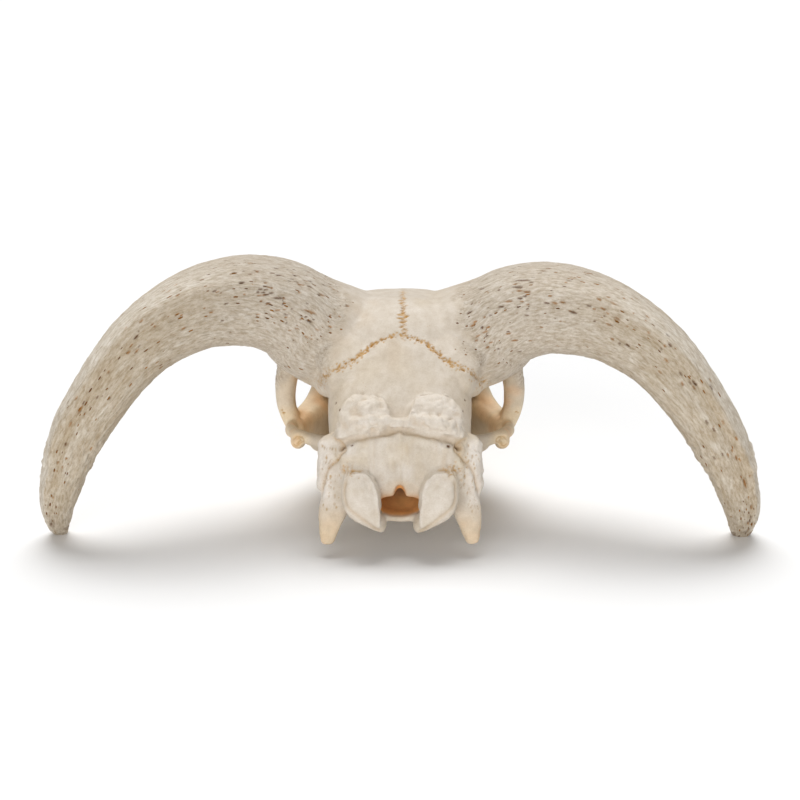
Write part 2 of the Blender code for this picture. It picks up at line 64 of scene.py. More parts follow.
# Driving sizes, as in the solids
HORN_SPAN = 376.0  # across the outer curves of both horn cores
HORN_RISE = 3.2  # by which the left arc stands higher than the mean, and the right one lower
BRAINCASE_WIDTH = 74.0  # in the temporal fossae
MASTOID_WIDTH = 84.0  # across the ear region
CONDYLE_SPAN = 58.0  # across both occipital condyles
CREST_HEIGHT = 68.0  # nuchal crest above the floor
FOREHEAD_HEIGHT = 120.5  # frontal bones between the horn cores, above the floor
MUZZLE_END = 249.0  # premaxilla tips
ORBIT_CENTRE = Vector((51.0, 117.0, 66.0))
ORBIT_RADIUS = 23.0  # to the middle of the bony rim
ORBIT_FACING = Vector((0.88, 0.42, 0.14)).normalized()
ORIGIN = Vector((0.0, 116.5, 0.0))

# Cheek teeth, from the first premolar to the last molar: x and y of both, then lengths and widths
TOOTH_ROW_FRONT = (22.5, 180.0)
TOOTH_ROW_REAR = (29.0, 104.0)
TOOTH_SIZES = ((9.5, 8.0), (11.0, 10.0), (12.0, 11.5), (14.0, 13.0), (16.5, 13.5), (17.0, 12.0))
TOOTH_GAP = 0.3
TOOTH_SIDES = 96  # points round a tooth
CROWN = ((18.0, 0.84), (14.0, 0.90), (10.0, 0.95), (6.0, 0.99), (3.0, 1.0), (1.2, 1.0), (0.3, 0.97))
WORN_FACE = (0.93, 0.84, 0.72, 0.58, 0.42, 0.24, 0.08)

# Where the bones meet, for the right side: points and directions of the planes between them
HORN_BASE = ((47.0, 78.0, 103.0), (0.86, -0.22, 0.46))
CORONAL_ARM = ((0.0, 45.0, 108.0), (0.55, 0.54, 0.638))
CORONAL_BASE = ((0.0, 80.0, 40.0), (0.0, 0.942, 0.336))
NUCHAL = ((0.0, 9.0, 70.0), (0.0, 0.985, 0.17))
NASOFRONTAL = ((0.0, 136.0, 100.0), (0.0, 0.87, -0.49))
PREMAXILLARY = ((0.0, 203.0, 20.0), (0.0, 0.94, 0.34))
CHEEK_TOP = ((0.0, 95.0, 56.0), (0.0, -0.12, -1.0))
CHEEK_INSIDE = 39.5
NASAL_BASE = ((0.0, 150.0, 88.5), (0.0, 0.45, 0.9))
NASAL_SIDE = 18.5

# Fineness
VOXEL = 0.62  # size of the cells that fuse overlapping bones
SOFTENING = 9.8  # smoothing of the fused skin, in square millimetres
FIRST_SOFTENING = 3.9  # the same before the openings are cut
FINER = 3  # times as many cross-sections as in the solids
BATCH = 20000  # points that are compared with a line at a time
SPACING = 0.5  # between the points of a path laid on the skin

# The camera's view of the skull's back
TILT = math.radians(15)  # looks down by this angle, along +Y
DISTANCE = 1610.0  # from the camera to the middle of its view
AIM_HEIGHT = 80.4  # middle of the view, along the picture's upright
LENS = 141.5

# Light
SKY = 0.28
FLOOR_REACH = 6000.0
LIGHTS = (
    # name, direction it comes from, strength, spread in degrees
    ("key", (-0.04, 0.36, 1.0), 2.5, 50),
    ("front", (-0.16, -1.0, 0.15), 1.80, 44),
)

# Colours, sRGB
PALE = (209, 198, 183)
CREAM = (206, 186, 150)
# The stain colour is also painted as shade: under the pads' lip, inside the nose and in the mastoid notches
STAIN_AND_SHADE = (182, 148, 98)
BROWN = (98, 58, 18)
GOLD = (188, 142, 70)
AMBER = (238, 178, 112)
IVORY = (238, 218, 184)
CHALK = (226, 217, 206)
HORN = (198, 185, 166)
HORN_LIGHT = (214, 204, 188)
HORN_DEEP = (182, 163, 135)
SLOT = (160, 108, 40)
ENAMEL = (232, 220, 192)
DENTINE = (206, 182, 138)
TARTAR = (96, 62, 30)

# Horn cores: where the rear edge runs, in radians from the top, and pits as
# how many, least and greatest radius, greatest length against width
RIDGE_TURN = -0.93
HORN_PITS = ((130, 0.42, 0.58, 4.0), (18, 0.5, 0.7, 5.0), (4, 0.6, 0.8, 10.0))

# Sutures of the vault
INTERFRONTAL = ((1.5, 88, 122), (1.8, 76, 121), (1.2, 62, 117), (1.8, 52, 111), (1.6, 43, 106))
CORONAL = ((0, 43, 106), (12, 40, 103), (23, 33, 98), (33, 33, 90), (40, 42, 83), (46, 54, 79))

# How many specks lie along each coronal arm, beside each condyle, on each mastoid and on each cheek bar
CORONAL_SPECKS = 260
SQUAMA_SPECKS = 26
MASTOID_SPECKS = 60
CHEEK_SPECKS = 16

# The rough pads' edges: distances from the middle, and rises along the picture's upright
PAD_REACH = (0, 4, 6, 9, 13, 20, 26, 30, 32.5)
PAD_LOWER = (66.4, 66.0, 65.2, 64.3, 63.1, 62.0, 61.2, 60.6, 60.2)
PAD_UPPER = (70.6, 71, 76, 82.3, 83.8, 84, 82.6, 76, 67)
PLATE_REACH = (0, 10, 20, 26, 32)
PLATE_TOP = (64.8, 64.2, 62.2, 60.4, 58.0)

# Paths on the skull's back, for the right side: x and rise along the picture's upright
MASTOID_SEAM = ((35.5, 62), (32, 59), (28.7, 55.5), (31.5, 51.5), (36.5, 46), (39.5, 38), (41, 33))
MASTOID_NOTCH = (31.0, 56.3)
KNOB = (54.0, 58.6)
CONDYLE_EDGE = ((26.5, 42), (17, 42.5), (12.4, 36), (10.8, 27), (10.2, 16))
CONDYLE_SIDE = ((27.5, 41), (29, 33), (27.5, 26.5), (20, 19.5), (11, 13.2))
SQUAMA_MARKS = ((26.5, 44.5), (23, 45.8), (19, 45.4))
VESSELS = (
    ((27, 47), (29, 44), (31, 43)), ((24, 48.5), (25.5, 45), (25, 42.5)),
    ((29.5, 48.5), (27, 46), (28.5, 42)),
)
FORAMINA = (
    # x, rise, radius, depth
    (25.2, 57.6, 0.9, 1.4), (-25.0, 57.8, 0.6, 0.8),
    (-33.5, 79.0, 0.6, 0.6), (-31.0, 76.0, 0.7, 0.7), (34.0, 80.5, 0.6, 0.6), (33.0, 75.0, 0.5, 0.5),
)

# Material slot of each named bone
SLOTS = {
    "horn_core_left": "horn_core_bone", "horn_core_right": "horn_core_bone", "occiput": "pale_bone",
    "braincase": "pale_bone", "frontal": "pale_bone", "cheek_left": "warm_bone", "cheek_right": "warm_bone",
    "upper_jaw": "jaw_bone", "nasal_bones": "warm_bone", "premaxilla_left": "warm_bone",
    "premaxilla_right": "warm_bone",
}

# Random values, which the noise looks up by scrambled cell numbers
CHANCE = np.random.default_rng(11).uniform(-1, 1, 65536)
SCRAMBLE = np.array((73856093, 19349663, 83492791))


# Meshes

def new_object(name, bm):
    """A scene object from a bmesh in millimetres."""
    bmesh.ops.recalc_face_normals(bm, faces=bm.faces)
    bmesh.ops.scale(bm, vec=(MM, MM, MM), verts=bm.verts)
    mesh = bpy.data.meshes.new(name)
    bm.to_mesh(mesh)
    bm.free()
    made = bpy.data.objects.new(name, mesh)
    bpy.context.scene.collection.objects.link(made)
    return made


def between(rows, t):
    """Catmull-Rom value of a list of number rows at t, counted in spans from the first row."""
    last = len(rows) - 1
    i = min(int(t), last - 1)
    f = t - i
    a, b, c, d = (rows[max(0, min(last, k))] for k in (i - 1, i, i + 1, i + 2))
    return [
        0.5 * (2 * q + (r - p) * f + (2 * p - 5 * q + 4 * r - s) * f * f + (3 * q - p - 3 * r + s) * f**3)
        for p, q, r, s in zip(a, b, c, d)
    ]


def resampled(rows, steps):
    """The rows with each span divided into finer steps."""
    steps *= FINER
    count = (len(rows) - 1) * steps
    return [between(rows, k / steps) for k in range(count + 1)]


def skinned(name, rings, closed=False):
    """A mesh over rings of points, whose ends meet or are each closed by a fan."""
    bm = bmesh.new()
    loops = [[bm.verts.new(p) for p in ring] for ring in rings]
    sides = len(loops[0])
    follows = loops[1:] + loops[:1] if closed else loops[1:]
    for low, high in zip(loops, follows):
        for k in range(sides):
            n = (k + 1) % sides
            bm.faces.new((low[k], low[n], high[n], high[k]))
    for loop in () if closed else (loops[0], loops[-1]):
        middle = bm.verts.new(sum((v.co for v in loop), Vector()) / sides)
        for k in range(sides):
            bm.faces.new((loop[k], loop[(k + 1) % sides], middle))
    return new_object(name, bm)


def power_of(angle, power):
    """Cosine and sine of an angle, squared off by a superellipse's power."""
    c, s = math.cos(angle), math.sin(angle)
    e = 2.0 / power
    return math.copysign(abs(c) ** e, c), math.copysign(abs(s) ** e, s)


def hull(name, stations, steps=4, sides=96):
    """A body along Y. A station is (y, lowest z, highest z, half width, flare upwards, squareness)."""
    rings = []
    for y, low, high, half, flare, power in resampled(stations, steps):
        mid, rise = (low + high) / 2, (high - low) / 2
        ring = []
        for k in range(sides):
            c, s = power_of(2 * math.pi * k / sides, power)
            ring.append((half * c * (1 + flare * s), y, mid + rise * s))
        rings.append(ring)
    return skinned(name, rings)


def section(point, along, wide, a, b):
    """A bar's cross-section: its point, its direction, both axes and both half sizes."""
    u = (wide - along * wide.dot(along)).normalized()
    return point, along, u, along.cross(u), a, b


def outline(cut, sides, power):
    """Points round a bar's cross-section."""
    point, _, u, v, a, b = cut
    ring = []
    for k in range(sides):
        c, s = power_of(2 * math.pi * k / sides, power)
        ring.append(point + u * (a * c) + v * (b * s))
    return ring


def bar(name, stations, wide=(0, 0, 1), steps=4, sides=36, power=2.2):
    """A round-ended body along a path. A station is (x, y, z, half size along wide, half size across)."""
    rows = resampled(stations, steps)
    points = [Vector(row[:3]) for row in rows]
    last = len(points) - 1
    cuts = []
    for i, (point, row) in enumerate(zip(points, rows)):
        along = (points[min(i + 1, last)] - points[max(i - 1, 0)]).normalized()
        cuts.append(section(point, along, Vector(wide), row[3], row[4]))
    cuts = rounded_end(cuts[0], -1)[::-1] + cuts + rounded_end(cuts[-1], 1)
    return skinned(name, [outline(cut, sides, power) for cut in cuts])


def rounded_end(cut, way):
    """Three smaller cross-sections past a bar's end, which round it off."""
    point, along, u, v, a, b = cut
    reach = min(a, b)
    added = []
    for share in (0.5, 0.8, 0.95):
        size = math.sqrt(1 - share * share)
        added.append((point + along * (way * reach * share), along, u, v, a * size, b * size))
    return added


def blob(name, centre, radii, turn=(0, 0, 0)):
    """An ellipsoid, turned about its centre by degrees round X, Y and Z."""
    bm = bmesh.new()
    bmesh.ops.create_icosphere(bm, subdivisions=5, radius=1.0)
    spin = Matrix.Identity(3)
    for axis, degrees in zip("XYZ", turn):
        spin = Matrix.Rotation(math.radians(degrees), 3, axis) @ spin
    shape = Matrix.Translation(centre) @ spin.to_4x4() @ Matrix.Diagonal((*radii, 1.0))
    bmesh.ops.transform(bm, matrix=shape, verts=bm.verts)
    return new_object(name, bm)


def slab(name, profile, half_width):
    """A profile of (y, z) points extruded both ways along X."""
    bm = bmesh.new()
    face = bm.faces.new([bm.verts.new((-half_width, y, z)) for y, z in profile])
    moved = bmesh.ops.extrude_face_region(bm, geom=[face])["geom"]
    verts = [v for v in moved if isinstance(v, bmesh.types.BMVert)]
    bmesh.ops.translate(bm, vec=(2 * half_width, 0, 0), verts=verts)
    return new_object(name, bm)


def both(source):
    """An object and its mirror image in the skull's middle plane."""
    bm = bmesh.new()
    bm.from_mesh(source.data)
    bmesh.ops.scale(bm, vec=(-1 / MM, 1 / MM, 1 / MM), verts=bm.verts)
    return [source, new_object(source.name + "_other", bm)]


def applied(target):
    """Replaces an object's mesh by its evaluated one and drops its modifiers."""
    graph = bpy.context.evaluated_depsgraph_get()
    mesh = bpy.data.meshes.new_from_object(target.evaluated_get(graph))
    target.modifiers.clear()
    target.data = mesh
    return target


def united(name, pieces):
    """One closed body from overlapping ones, of which only the first is left."""
    base, *others = pieces
    group = bpy.data.collections.new(name)
    for piece in others:
        group.objects.link(piece)
    union = base.modifiers.new("union", "BOOLEAN")
    union.operand_type = "COLLECTION"
    union.collection = group
    union.operation = "UNION"
    union.solver = "MANIFOLD"
    applied(base)
    for piece in others:
        bpy.data.objects.remove(piece)
    bpy.data.collections.remove(group)
    base.name = name
    return base


def fused(name, pieces, softening=SOFTENING):
    """Overlapping bodies melted into one skin, with its creases filled by smoothing."""
    made = united(name, pieces)
    remesh = made.modifiers.new("fuse", "REMESH")
    remesh.mode = "VOXEL"
    remesh.voxel_size = VOXEL * MM
    smooth = made.modifiers.new("fillet", "SMOOTH")
    smooth.factor = 0.5
    smooth.iterations = max(2, round(softening / VOXEL**2))
    return applied(made)


def boolean(target, other, operation):
    """Cuts or crosses a target with another object, which is removed."""
    cut = target.modifiers.new("cut", "BOOLEAN")
    cut.operation = operation
    cut.solver = "MANIFOLD"
    cut.object = other
    applied(target)
    bpy.data.objects.remove(other)
    return target


# Bones

def braincase():
    half = BRAINCASE_WIDTH / 2
    return [
        hull("vault", (
            (6, 30, CREST_HEIGHT - 2, half - 5, -0.05, 3.0), (14, 28, 77, half - 1.5, -0.02, 2.7),
            (27, 29, 92, half - 0.5, 0.0, 2.5), (40, 31, 105, half, 0.0, 2.5),
            (58, 33, 113, half - 2, 0.0, 2.5), (78, 38, 116, half - 8, 0.0, 2.5),
            (98, 42, 112, half - 12, 0.0, 2.5), (114, 46, 104, half - 16, 0.0, 2.5),
        )),
        hull("shoulders", (
            (30, 84, 92, 31, 0.0, 2.2), (37, 81, 100, 40, 0.04, 2.1), (47, 78, 108, 45.5, 0.08, 2.1),
            (60, 77, 113, 48, 0.06, 2.2), (76, 78, 116, 48, 0.0, 2.4), (92, 80, 114, 45, -0.08, 2.4),
            (106, 84, 112, 38, -0.08, 2.4),
        )),
        *both(bar("temporal_line", (
            (32.5, 34, 84, 8, 5), (35.5, 46, 83, 9, 6.5), (37, 60, 80, 11, 8.5), (37, 80, 80, 12, 9),
            (33, 96, 80, 12, 8),
        ))),
        *both(blob("orbit_wall", (27, 98, 60), (9, 15, 24))),
        hull("skull_base", (
            (-1, 18.5, 24, 9, 0.0, 2.6), (12, 20, 34, 12, 0.0, 2.6), (34, 25, 42, 12, 0.0, 2.4),
            (60, 31, 46, 11, 0.0, 2.4), (92, 36, 50, 11, 0.0, 2.4),
        )),
    ]


def occipital():
    """The plate behind the braincase, with its crest, condyles and processes."""
    side = MASTOID_WIDTH / 2
    outer = CONDYLE_SPAN / 2
    plate = hull("plate", (
        (0, 34, CREST_HEIGHT - 4, side - 13, -0.12, 3.0), (6, 27, CREST_HEIGHT, side - 7, -0.10, 3.2),
        (16, 26, CREST_HEIGHT + 2, side - 4, -0.10, 3.2),
    ))
    crest = bar("crest", (
        (-side + 8, 13, 53, 2.6, 2.6), (-side + 11, 9, 62, 3.0, 3.0),
        (-19, 3.5, CREST_HEIGHT + 1.5, 4.6, 3.2), (0, 5.5, CREST_HEIGHT + 2.5, 2.6, 2.6),
        (19, 3.5, CREST_HEIGHT + 1.5, 4.6, 3.2), (side - 11, 9, 62, 3.0, 3.0), (side - 8, 13, 53, 2.6, 2.6),
    ), wide=(0, -0.6, 1))
    pads = both(blob("pad", (18, 9.5, CREST_HEIGHT + 4.5), (14.5, 4.2, 11), turn=(-32, 0, 0)))
    condyles = both(bar("condyle", (
        (outer - 6.5, 3, 45, 6.5, 5.0), (outer - 8.5, -4, 38, 9.5, 7.0), (outer - 10.5, -6, 30, 10.0, 7.0),
        (outer - 15.8, -5.5, 22.5, 6.0, 6.0), (outer - 19.8, -4, 17.5, 2.6, 4.2),
    ), wide=(1, 0, 0.35), power=2.5))
    condyle_roots = both(blob("condyle_root", (outer - 10, 8, 34), (12, 10, 11)))
    wings = both(bar("wing", (
        (outer - 9, 9, 38, 10, 6.0), (side - 14, 8.5, 37, 12, 5.5), (side - 7, 9.5, 42, 12, 5.5),
    ), steps=3))
    processes = both(bar("process", (
        (side - 11, 11, 42, 8.5, 5.0), (side - 9.8, 8, 30, 9.0, 4.6), (side - 7.0, 4, 21, 7.0, 3.9),
        (side - 5.0, 0.5, 9.5, 4.0, 3.2),
    ), wide=(1, 0, 0), power=2.6))
    mastoids = both(bar("mastoid", (
        (side - 6.5, 14, 55, 6.5, 6.5), (side - 6.5, 11.5, 45, 7.0, 8.0), (side - 7.5, 10, 33, 6.5, 7.0),
    ), wide=(1, 0, 0), steps=3))
    return [plate, crest, *pads, *condyles, *condyle_roots, *wings, *processes, *mastoids]


def ears():
    """Auditory bullae and the short tubes of the outer ear."""
    bullae = both(blob("bulla", (21, 34, 30), (8.5, 13, 10), turn=(0, 0, 12)))
    tubes = both(bar("ear_tube", ((24, 33, 38, 6.0, 6.0), (35.5, 31, 43, 5.2, 5.2)), steps=2))
    return [*bullae, *tubes]


def pterygoids():
    """The thin upright plates beside the inner nostrils."""
    return both(bar("pterygoid", (
        (10.5, 88, 42, 11, 2.2), (11, 98, 34, 12, 2.2), (11.5, 108, 27, 10, 2.6), (12, 118, 24, 7, 3.2),
    ), wide=(0, 0.55, 1), steps=3))


def frontals():
    dome = blob("dome", (0, 72, 92), (48, 36, FOREHEAD_HEIGHT - 92))
    slope = hull("forehead", (
        (62, 84, FOREHEAD_HEIGHT - 3, 34, 0.0, 2.8), (84, 82, FOREHEAD_HEIGHT - 1, 34, 0.0, 3.0),
        (104, 78, 117, 33, -0.05, 3.0), (124, 68, 108, 31, -0.10, 2.7), (146, 50, 96, 27, -0.15, 2.5),
    ))
    brows = both(bar("brow", (
        (18, 106, 101, 22, 9), (38, 108, 94, 21, 8), (52, 110, 87, 14, 5),
    ), wide=(0, 1, -0.15)))
    return [dome, slope, *brows]


def face():
    """Maxillae, lacrimals and palate in one body, down to the roots of the cheek teeth."""
    body = hull("face", (
        (93, 26, 60, 24, -0.04, 2.6), (102, 17, 66, 33, -0.02, 2.6), (116, 12, 76, 36.5, -0.04, 2.7),
        (134, 11, 98, 37, -0.12, 2.5), (150, 11, 92, 34, -0.24, 2.4), (168, 12, 83, 29.5, -0.26, 2.4),
        (184, 13, 74, 25, -0.20, 2.4), (200, 13, 63, 20, -0.10, 2.5), (220, 10, 48, 17, 0.0, 2.6),
        (238, 6, 34, 15.5, 0.0, 2.6), (MUZZLE_END - 3, 5, 19, 13.5, 0.0, 2.6),
    ))
    lacrimals = both(blob("lacrimal", (33, 132, 68), (11, 16, 21), turn=(0, 0, 20)))
    sockets = both(bar("tooth_sockets", (
        (29.5, 102, 25, 12, 8.5), (29, 118, 22, 10.5, 9.5), (27, 144, 21, 10, 8.5), (24, 168, 21, 9, 6.5),
        (19, 188, 22, 7, 4.5),
    ), power=2.4))
    return [body, *lacrimals, *sockets]


def nasals():
    """Roof of the nose, whose two points stand free in front."""
    return both(bar("nasal", (
        (8, 126, 103, 9.5, 4.0), (8.5, 150, 93, 10, 4.2), (8.5, 180, 78, 9.5, 4.0), (8, 204, 64, 8.5, 3.6),
        (6.8, 222, 52.5, 5.6, 3.0), (5.4, 231, 46.5, 3.0, 2.2),
    ), wide=(1, 0, 0)))


def orbit_frame():
    """Directions within the orbit's rim: to the rear, and up."""
    rear = Vector((0, 0, 1)).cross(ORBIT_FACING).normalized()
    rear = -rear if rear.y > 0 else rear
    return rear, (Vector((0, 0, 1)) - ORBIT_FACING * ORBIT_FACING.z).normalized()


def orbit_rims():
    """Raised rings round the eye sockets, thicker behind the eye."""
    rear, up = orbit_frame()
    turns = 96
    rings = []
    for k in range(turns):
        angle = 2 * math.pi * k / turns
        spoke = rear * math.cos(angle) + up * math.sin(angle)
        behind = max(0.0, math.cos(angle))
        along = rear * -math.sin(angle) + up * math.cos(angle)
        cut = section(ORBIT_CENTRE + spoke * ORBIT_RADIUS, along, ORBIT_FACING, 4.8 + 1.0 * behind,
                      3.6 + 0.6 * behind)
        rings.append(outline(cut, 32, 2.2))
    return both(skinned("orbit_rim", rings, closed=True))


def cheeks():
    """Postorbital bars, cheek bones and zygomatic arches."""
    bars = both(bar("postorbital", (
        (50, 84, 90, 12, 7), (58, 91, 80, 7.6, 5.5), (61.5, 94.5, 68, 5.6, 5.0), (61, 95, 55, 5.0, 5.0),
        (57.5, 95, 45, 4.6, 5.0),
    ), wide=(1, -0.2, 0)))
    cheekbones = both(bar("cheekbone", (
        (55, 88, 43.5, 4.5, 4.0), (54, 102, 40.5, 6.0, 4.5), (49, 118, 37.5, 9.0, 5.0),
        (41, 134, 37, 12, 5.0), (33, 150, 37, 10, 5.0),
    )))
    arches = both(bar("arch", (
        (33, 44, 47.5, 4.4, 6.0), (44, 46, 49, 3.4, 4.6), (53, 53, 50, 3.0, 3.8), (57, 66, 48.5, 3.6, 3.0),
        (58, 80, 46, 4.0, 3.0), (57, 92, 43.5, 4.5, 3.2),
    )))
    joints = both(blob("jaw_joint", (37.5, 50, 45.5), (9.5, 9, 4)))
    knobs = both(blob("arch_knob", (53.5, 54, 46.5), (4.2, 6, 4.2)))
    return [*bars, *cheekbones, *arches, *joints, *knobs]


def openings():
    """Cutters for the foramen magnum, orbits, nose, inner nostrils and palate."""
    spinal = bar("spinal", (
        (0, -22, 19, 10.5, 5.0), (0, -8, 25.5, 10.5, 5.4), (0, 3, 27.0, 10.8, 5.0),
        (0, 11, 30.0, 11.0, 8.0), (0, 24, 38, 12.0, 10.5), (0, 40, 48, 13.0, 12.5),
    ), wide=(1, 0, 0), steps=3)
    peak = blob("peak", (0, -3, 32), (3.5, 9, 6), turn=(25, 0, 0))
    nose = hull("nose", (
        (148, 42, 60, 8, 0.0, 2.4), (166, 31, 70, 17, -0.1, 2.4), (186, 28, 62, 17, -0.05, 2.4),
        (206, 23, 53, 14.5, 0.0, 2.4), (226, 17, 45, 12.5, 0.0, 2.4),
        (MUZZLE_END + 8, 13, 36, 11, 0.0, 2.4),
    ))
    notch = slab("notch", ((199, 60), (222, 51), (262, 34), (262, 12), (246, 15.5), (224, 27), (200, 45)), 40)
    inner_nostrils = hull("inner_nostrils", (
        (78, 14, 32, 9, 0.0, 2.6), (100, 13, 34, 9, 0.0, 2.6), (116, 15, 36, 9, 0.0, 2.6),
        (130, 25, 38, 8, 0.0, 2.6),
    ))
    palate = hull("palate", (
        (90, -8, 14, 15.0, 0.0, 2.6), (108, -8, 20, 20.5, 0.0, 2.6), (150, -8, 21.0, 19.5, 0.0, 2.6),
        (178, -8, 19.5, 16.0, 0.0, 2.6), (202, -8, 15.5, 12.0, 0.0, 2.6), (224, -8, 10.5, 9.0, 0.0, 2.6),
    ))
    slots = both(bar("slot", ((5.4, 210, 14, 14, 2.0), (5.2, 234, 10, 14, 1.8)), steps=2))
    gap = slab("front_gap", ((241, -5), (MUZZLE_END + 8, -5), (MUZZLE_END + 8, 40), (241, 40)), 1.3)
    return [spinal, peak, *both(socket()), nose, notch, inner_nostrils, palate, *slots, gap]


def socket():
    """The hollow of an orbit, which narrows inwards."""
    rear, up = orbit_frame()
    cuts = []
    for depth, size in ((-32, 0.55), (-24, 0.76), (-10, 0.88), (0, 0.9), (14, 1.2)):
        half = ORBIT_RADIUS * size
        cuts.append(section(ORBIT_CENTRE + ORBIT_FACING * depth, ORBIT_FACING, up, half, half))
    return skinned("socket", [outline(cut, 72, 2.1) for cut in cuts])


def horn_stations():
    """Path and sizes of the right horn core: x, y, z, half thickness, half depth."""
    reach = HORN_SPAN / 2
    return (
        (22, 86, 91, 28, 37), (46, 79, 102.5, 26.5, 37), (63, 71, 113.5, 24.5, 36),
        (82, 60, 119.0, 22.5, 34), (103, 47, 118, 20.5, 31), (121, 35, 111, 18.8, 28),
        (136, 26, 100, 17.2, 25), (150, 20, 83, 15.8, 21.5), (reach - 25, 19, 62, 14.4, 18),
        (reach - 16.5, 23, 42, 12.2, 15), (reach - 10.8, 30, 22, 9.6, 11.4), (reach - 9.5, 38, 8, 6.6, 8.2),
        (reach - 9.8, 42, 2, 4.6, 5.8), (reach - 10.0, 44.5, -3, 2.4, 3.0),
    )


# Horn cores

def horn_line(side, steps):
    """Points, sizes and directions along a horn core's middle line."""
    rows = resampled(horn_stations(), steps)
    last = len(rows) - 1
    points = []
    for k, row in enumerate(rows):
        lift = -side * HORN_RISE * math.sin(math.pi * k / last)
        points.append(Vector((side * row[0], row[1], row[2] + lift)))
    found = []
    for k, (point, row) in enumerate(zip(points, rows)):
        along = (points[min(k + 1, last)] - points[max(k - 1, 0)]).normalized()
        out = along.cross(Vector((0, side, 0))).normalized()
        found.append((point, along, out, out.cross(along), row[3], row[4]))
    return found


def horn(name, side, sides=84):
    """A horn core, whose section is a rounded triangle with one blunt edge outwards."""
    rings = []
    for point, along, out, away, thick, deep in horn_line(side, 4):
        ring = []
        for n in range(sides):
            angle = 2 * math.pi * n / sides
            c, s = power_of(angle, 2.3)
            edge = 1 + 0.05 * math.cos(3 * (angle + side * math.radians(35)))
            ring.append(point + out * (thick * c * edge) + away * (deep * s * edge))
        rings.append(ring)
    return skinned(name, rings)


# Points and noise

def lengths(vectors):
    return np.sqrt((vectors**2).sum(axis=1))


def measured(line):
    """How far along a line each of its points is."""
    return np.concatenate([[0], np.cumsum(lengths(np.diff(line, axis=0)))])


def ahead_of(plane, points, side=1):
    """Distance of points in front of a plane of the right side, or of its mirror image."""
    point, normal = np.array(plane)
    return (points * (side, 1, 1) - point) @ (normal / math.sqrt(normal @ normal))


def step(value, low, high):
    """Smooth rise from 0 at low to 1 at high."""
    t = np.clip((value - low) / (high - low), 0, 1)
    return t * t * (3 - 2 * t)


def fall(value, low, high):
    """Smooth fall from 1 at low to 0 at high."""
    return 1 - step(value, low, high)


def within(value, *ends):
    """Smooth rise from 0 to 1 between the first two ends, and fall back between the last two."""
    return step(value, *ends[:2]) * fall(value, *ends[2:])


def bell(value, width):
    return np.exp(-(value / width) ** 2)


def noise(points, cell, seed=0.0):
    """Smooth random values from -1 to 1 at some points, for cells of one length or of three."""
    place = points / cell + seed * 19.37
    base = np.floor(place).astype(np.int64)
    part = place - base
    part = part * part * (3 - 2 * part)
    total = np.zeros(len(points))
    for corner in range(8):
        move = np.array((corner & 1, corner >> 1 & 1, corner >> 2))
        x, y, z = ((base + move) * SCRAMBLE).T
        total += CHANCE[(x ^ y ^ z) & (len(CHANCE) - 1)] * np.prod(np.where(move, part, 1 - part), axis=1)
    return total


def unevenness(points):
    """Gentle waves of three sizes."""
    return 0.22 * noise(points, 13, 1) + 0.10 * noise(points, 4.5, 2) + 0.04 * noise(points, 1.6, 3)


def furrows(points, cell, seed=0.0):
    """Values of 1 along winding lines, falling to 0 between them."""
    return 1 - np.clip(np.abs(noise(points, cell, seed)) * 3.2, 0, 1)


def nearest(points, line):
    """For each point, the number of the line's nearest point."""
    found = np.empty(len(points), np.int64)
    length = (line**2).sum(axis=1)
    for start in range(0, len(points), BATCH):
        part = points[start:start + BATCH]
        found[start:start + BATCH] = (length - 2 * part @ line.T).argmin(axis=1)
    return found


def linear(colour):
    """An sRGB colour of 0 to 255 as linear values."""
    share = np.array(colour, float) / 255
    return np.where(share < 0.04045, share / 12.92, ((share + 0.055) / 1.055) ** 2.4)


# The skull's skin

class Skin:
    """One fine mesh for the whole skull: points, how far each is raised, and its colour."""

    def __init__(self, body):
        mesh = body.data
        count = len(mesh.vertices)
        points = np.empty(count * 3)
        mesh.vertices.foreach_get("co", points)
        corners = np.empty(len(mesh.loops), np.int64)
        mesh.loops.foreach_get("vertex_index", corners)
        self.points = points.reshape(-1, 3) / MM
        self.quads = corners.reshape(-1, 4)
        self.normals = self.facing(self.points)
        self.raised, self.horn, self.pitted = np.zeros((3, count))
        self.colour = np.tile(linear(PALE), (count, 1))
        self.grain = self.points.copy()
        deep, high = self.points[:, 1], self.points[:, 2]
        self.rise = high * math.cos(TILT) + deep * math.sin(TILT)
        self.depth = deep * math.cos(TILT) - high * math.sin(TILT)
        self.tree = KDTree(count)
        for k, point in enumerate(self.points.tolist()):
            self.tree.insert(point, k)
        self.tree.balance()

    def facing(self, points):
        """Outward direction at each point."""
        a, b, c, d = (points[self.quads[:, k]] for k in range(4))
        across = np.cross(c - a, d - b)
        total = np.zeros_like(points)
        for axis in range(3):
            for k in range(4):
                total[:, axis] += np.bincount(self.quads[:, k], across[:, axis], len(points))
        return total / np.maximum(lengths(total), 1e-9)[:, None]

    def paint(self, colour, amount, found=slice(None)):
        """Mixes a colour in at the found points, by an amount from 0 to 1."""
        share = np.clip(amount, 0, 1)[:, None]
        self.colour[found] += (linear(colour) - self.colour[found]) * share

    def on_back(self, x, rise):
        """The point of the skull's back that shows at x, and at a rise along the picture's upright."""
        apart = np.hypot(self.points[:, 0] - x, self.rise - rise)
        return self.points[np.argmin(self.depth + 60 * np.maximum(apart - 0.8, 0))]


# Marks on the skin

def pit(skin, place, along, radius, stretch, depth, colour, strength=1.0):
    """A round or long hollow with a painted floor: a stain in most pits, and painted shade in the mastoid
    notches.
    """
    nearby = skin.tree.find_range(place, radius * (stretch + 0.8))
    found = np.array([index for point, index, distance in nearby], np.int64)
    offset = skin.points[found] - np.array(place)
    lengthwise = offset @ np.array(along)
    crosswise = np.sqrt(np.maximum((offset**2).sum(axis=1) - lengthwise**2, 0))
    inside = fall(np.hypot(lengthwise / stretch, crosswise) / radius, 0.45, 1.25)
    skin.raised[found] -= depth * inside
    skin.paint(colour, inside * strength, found)


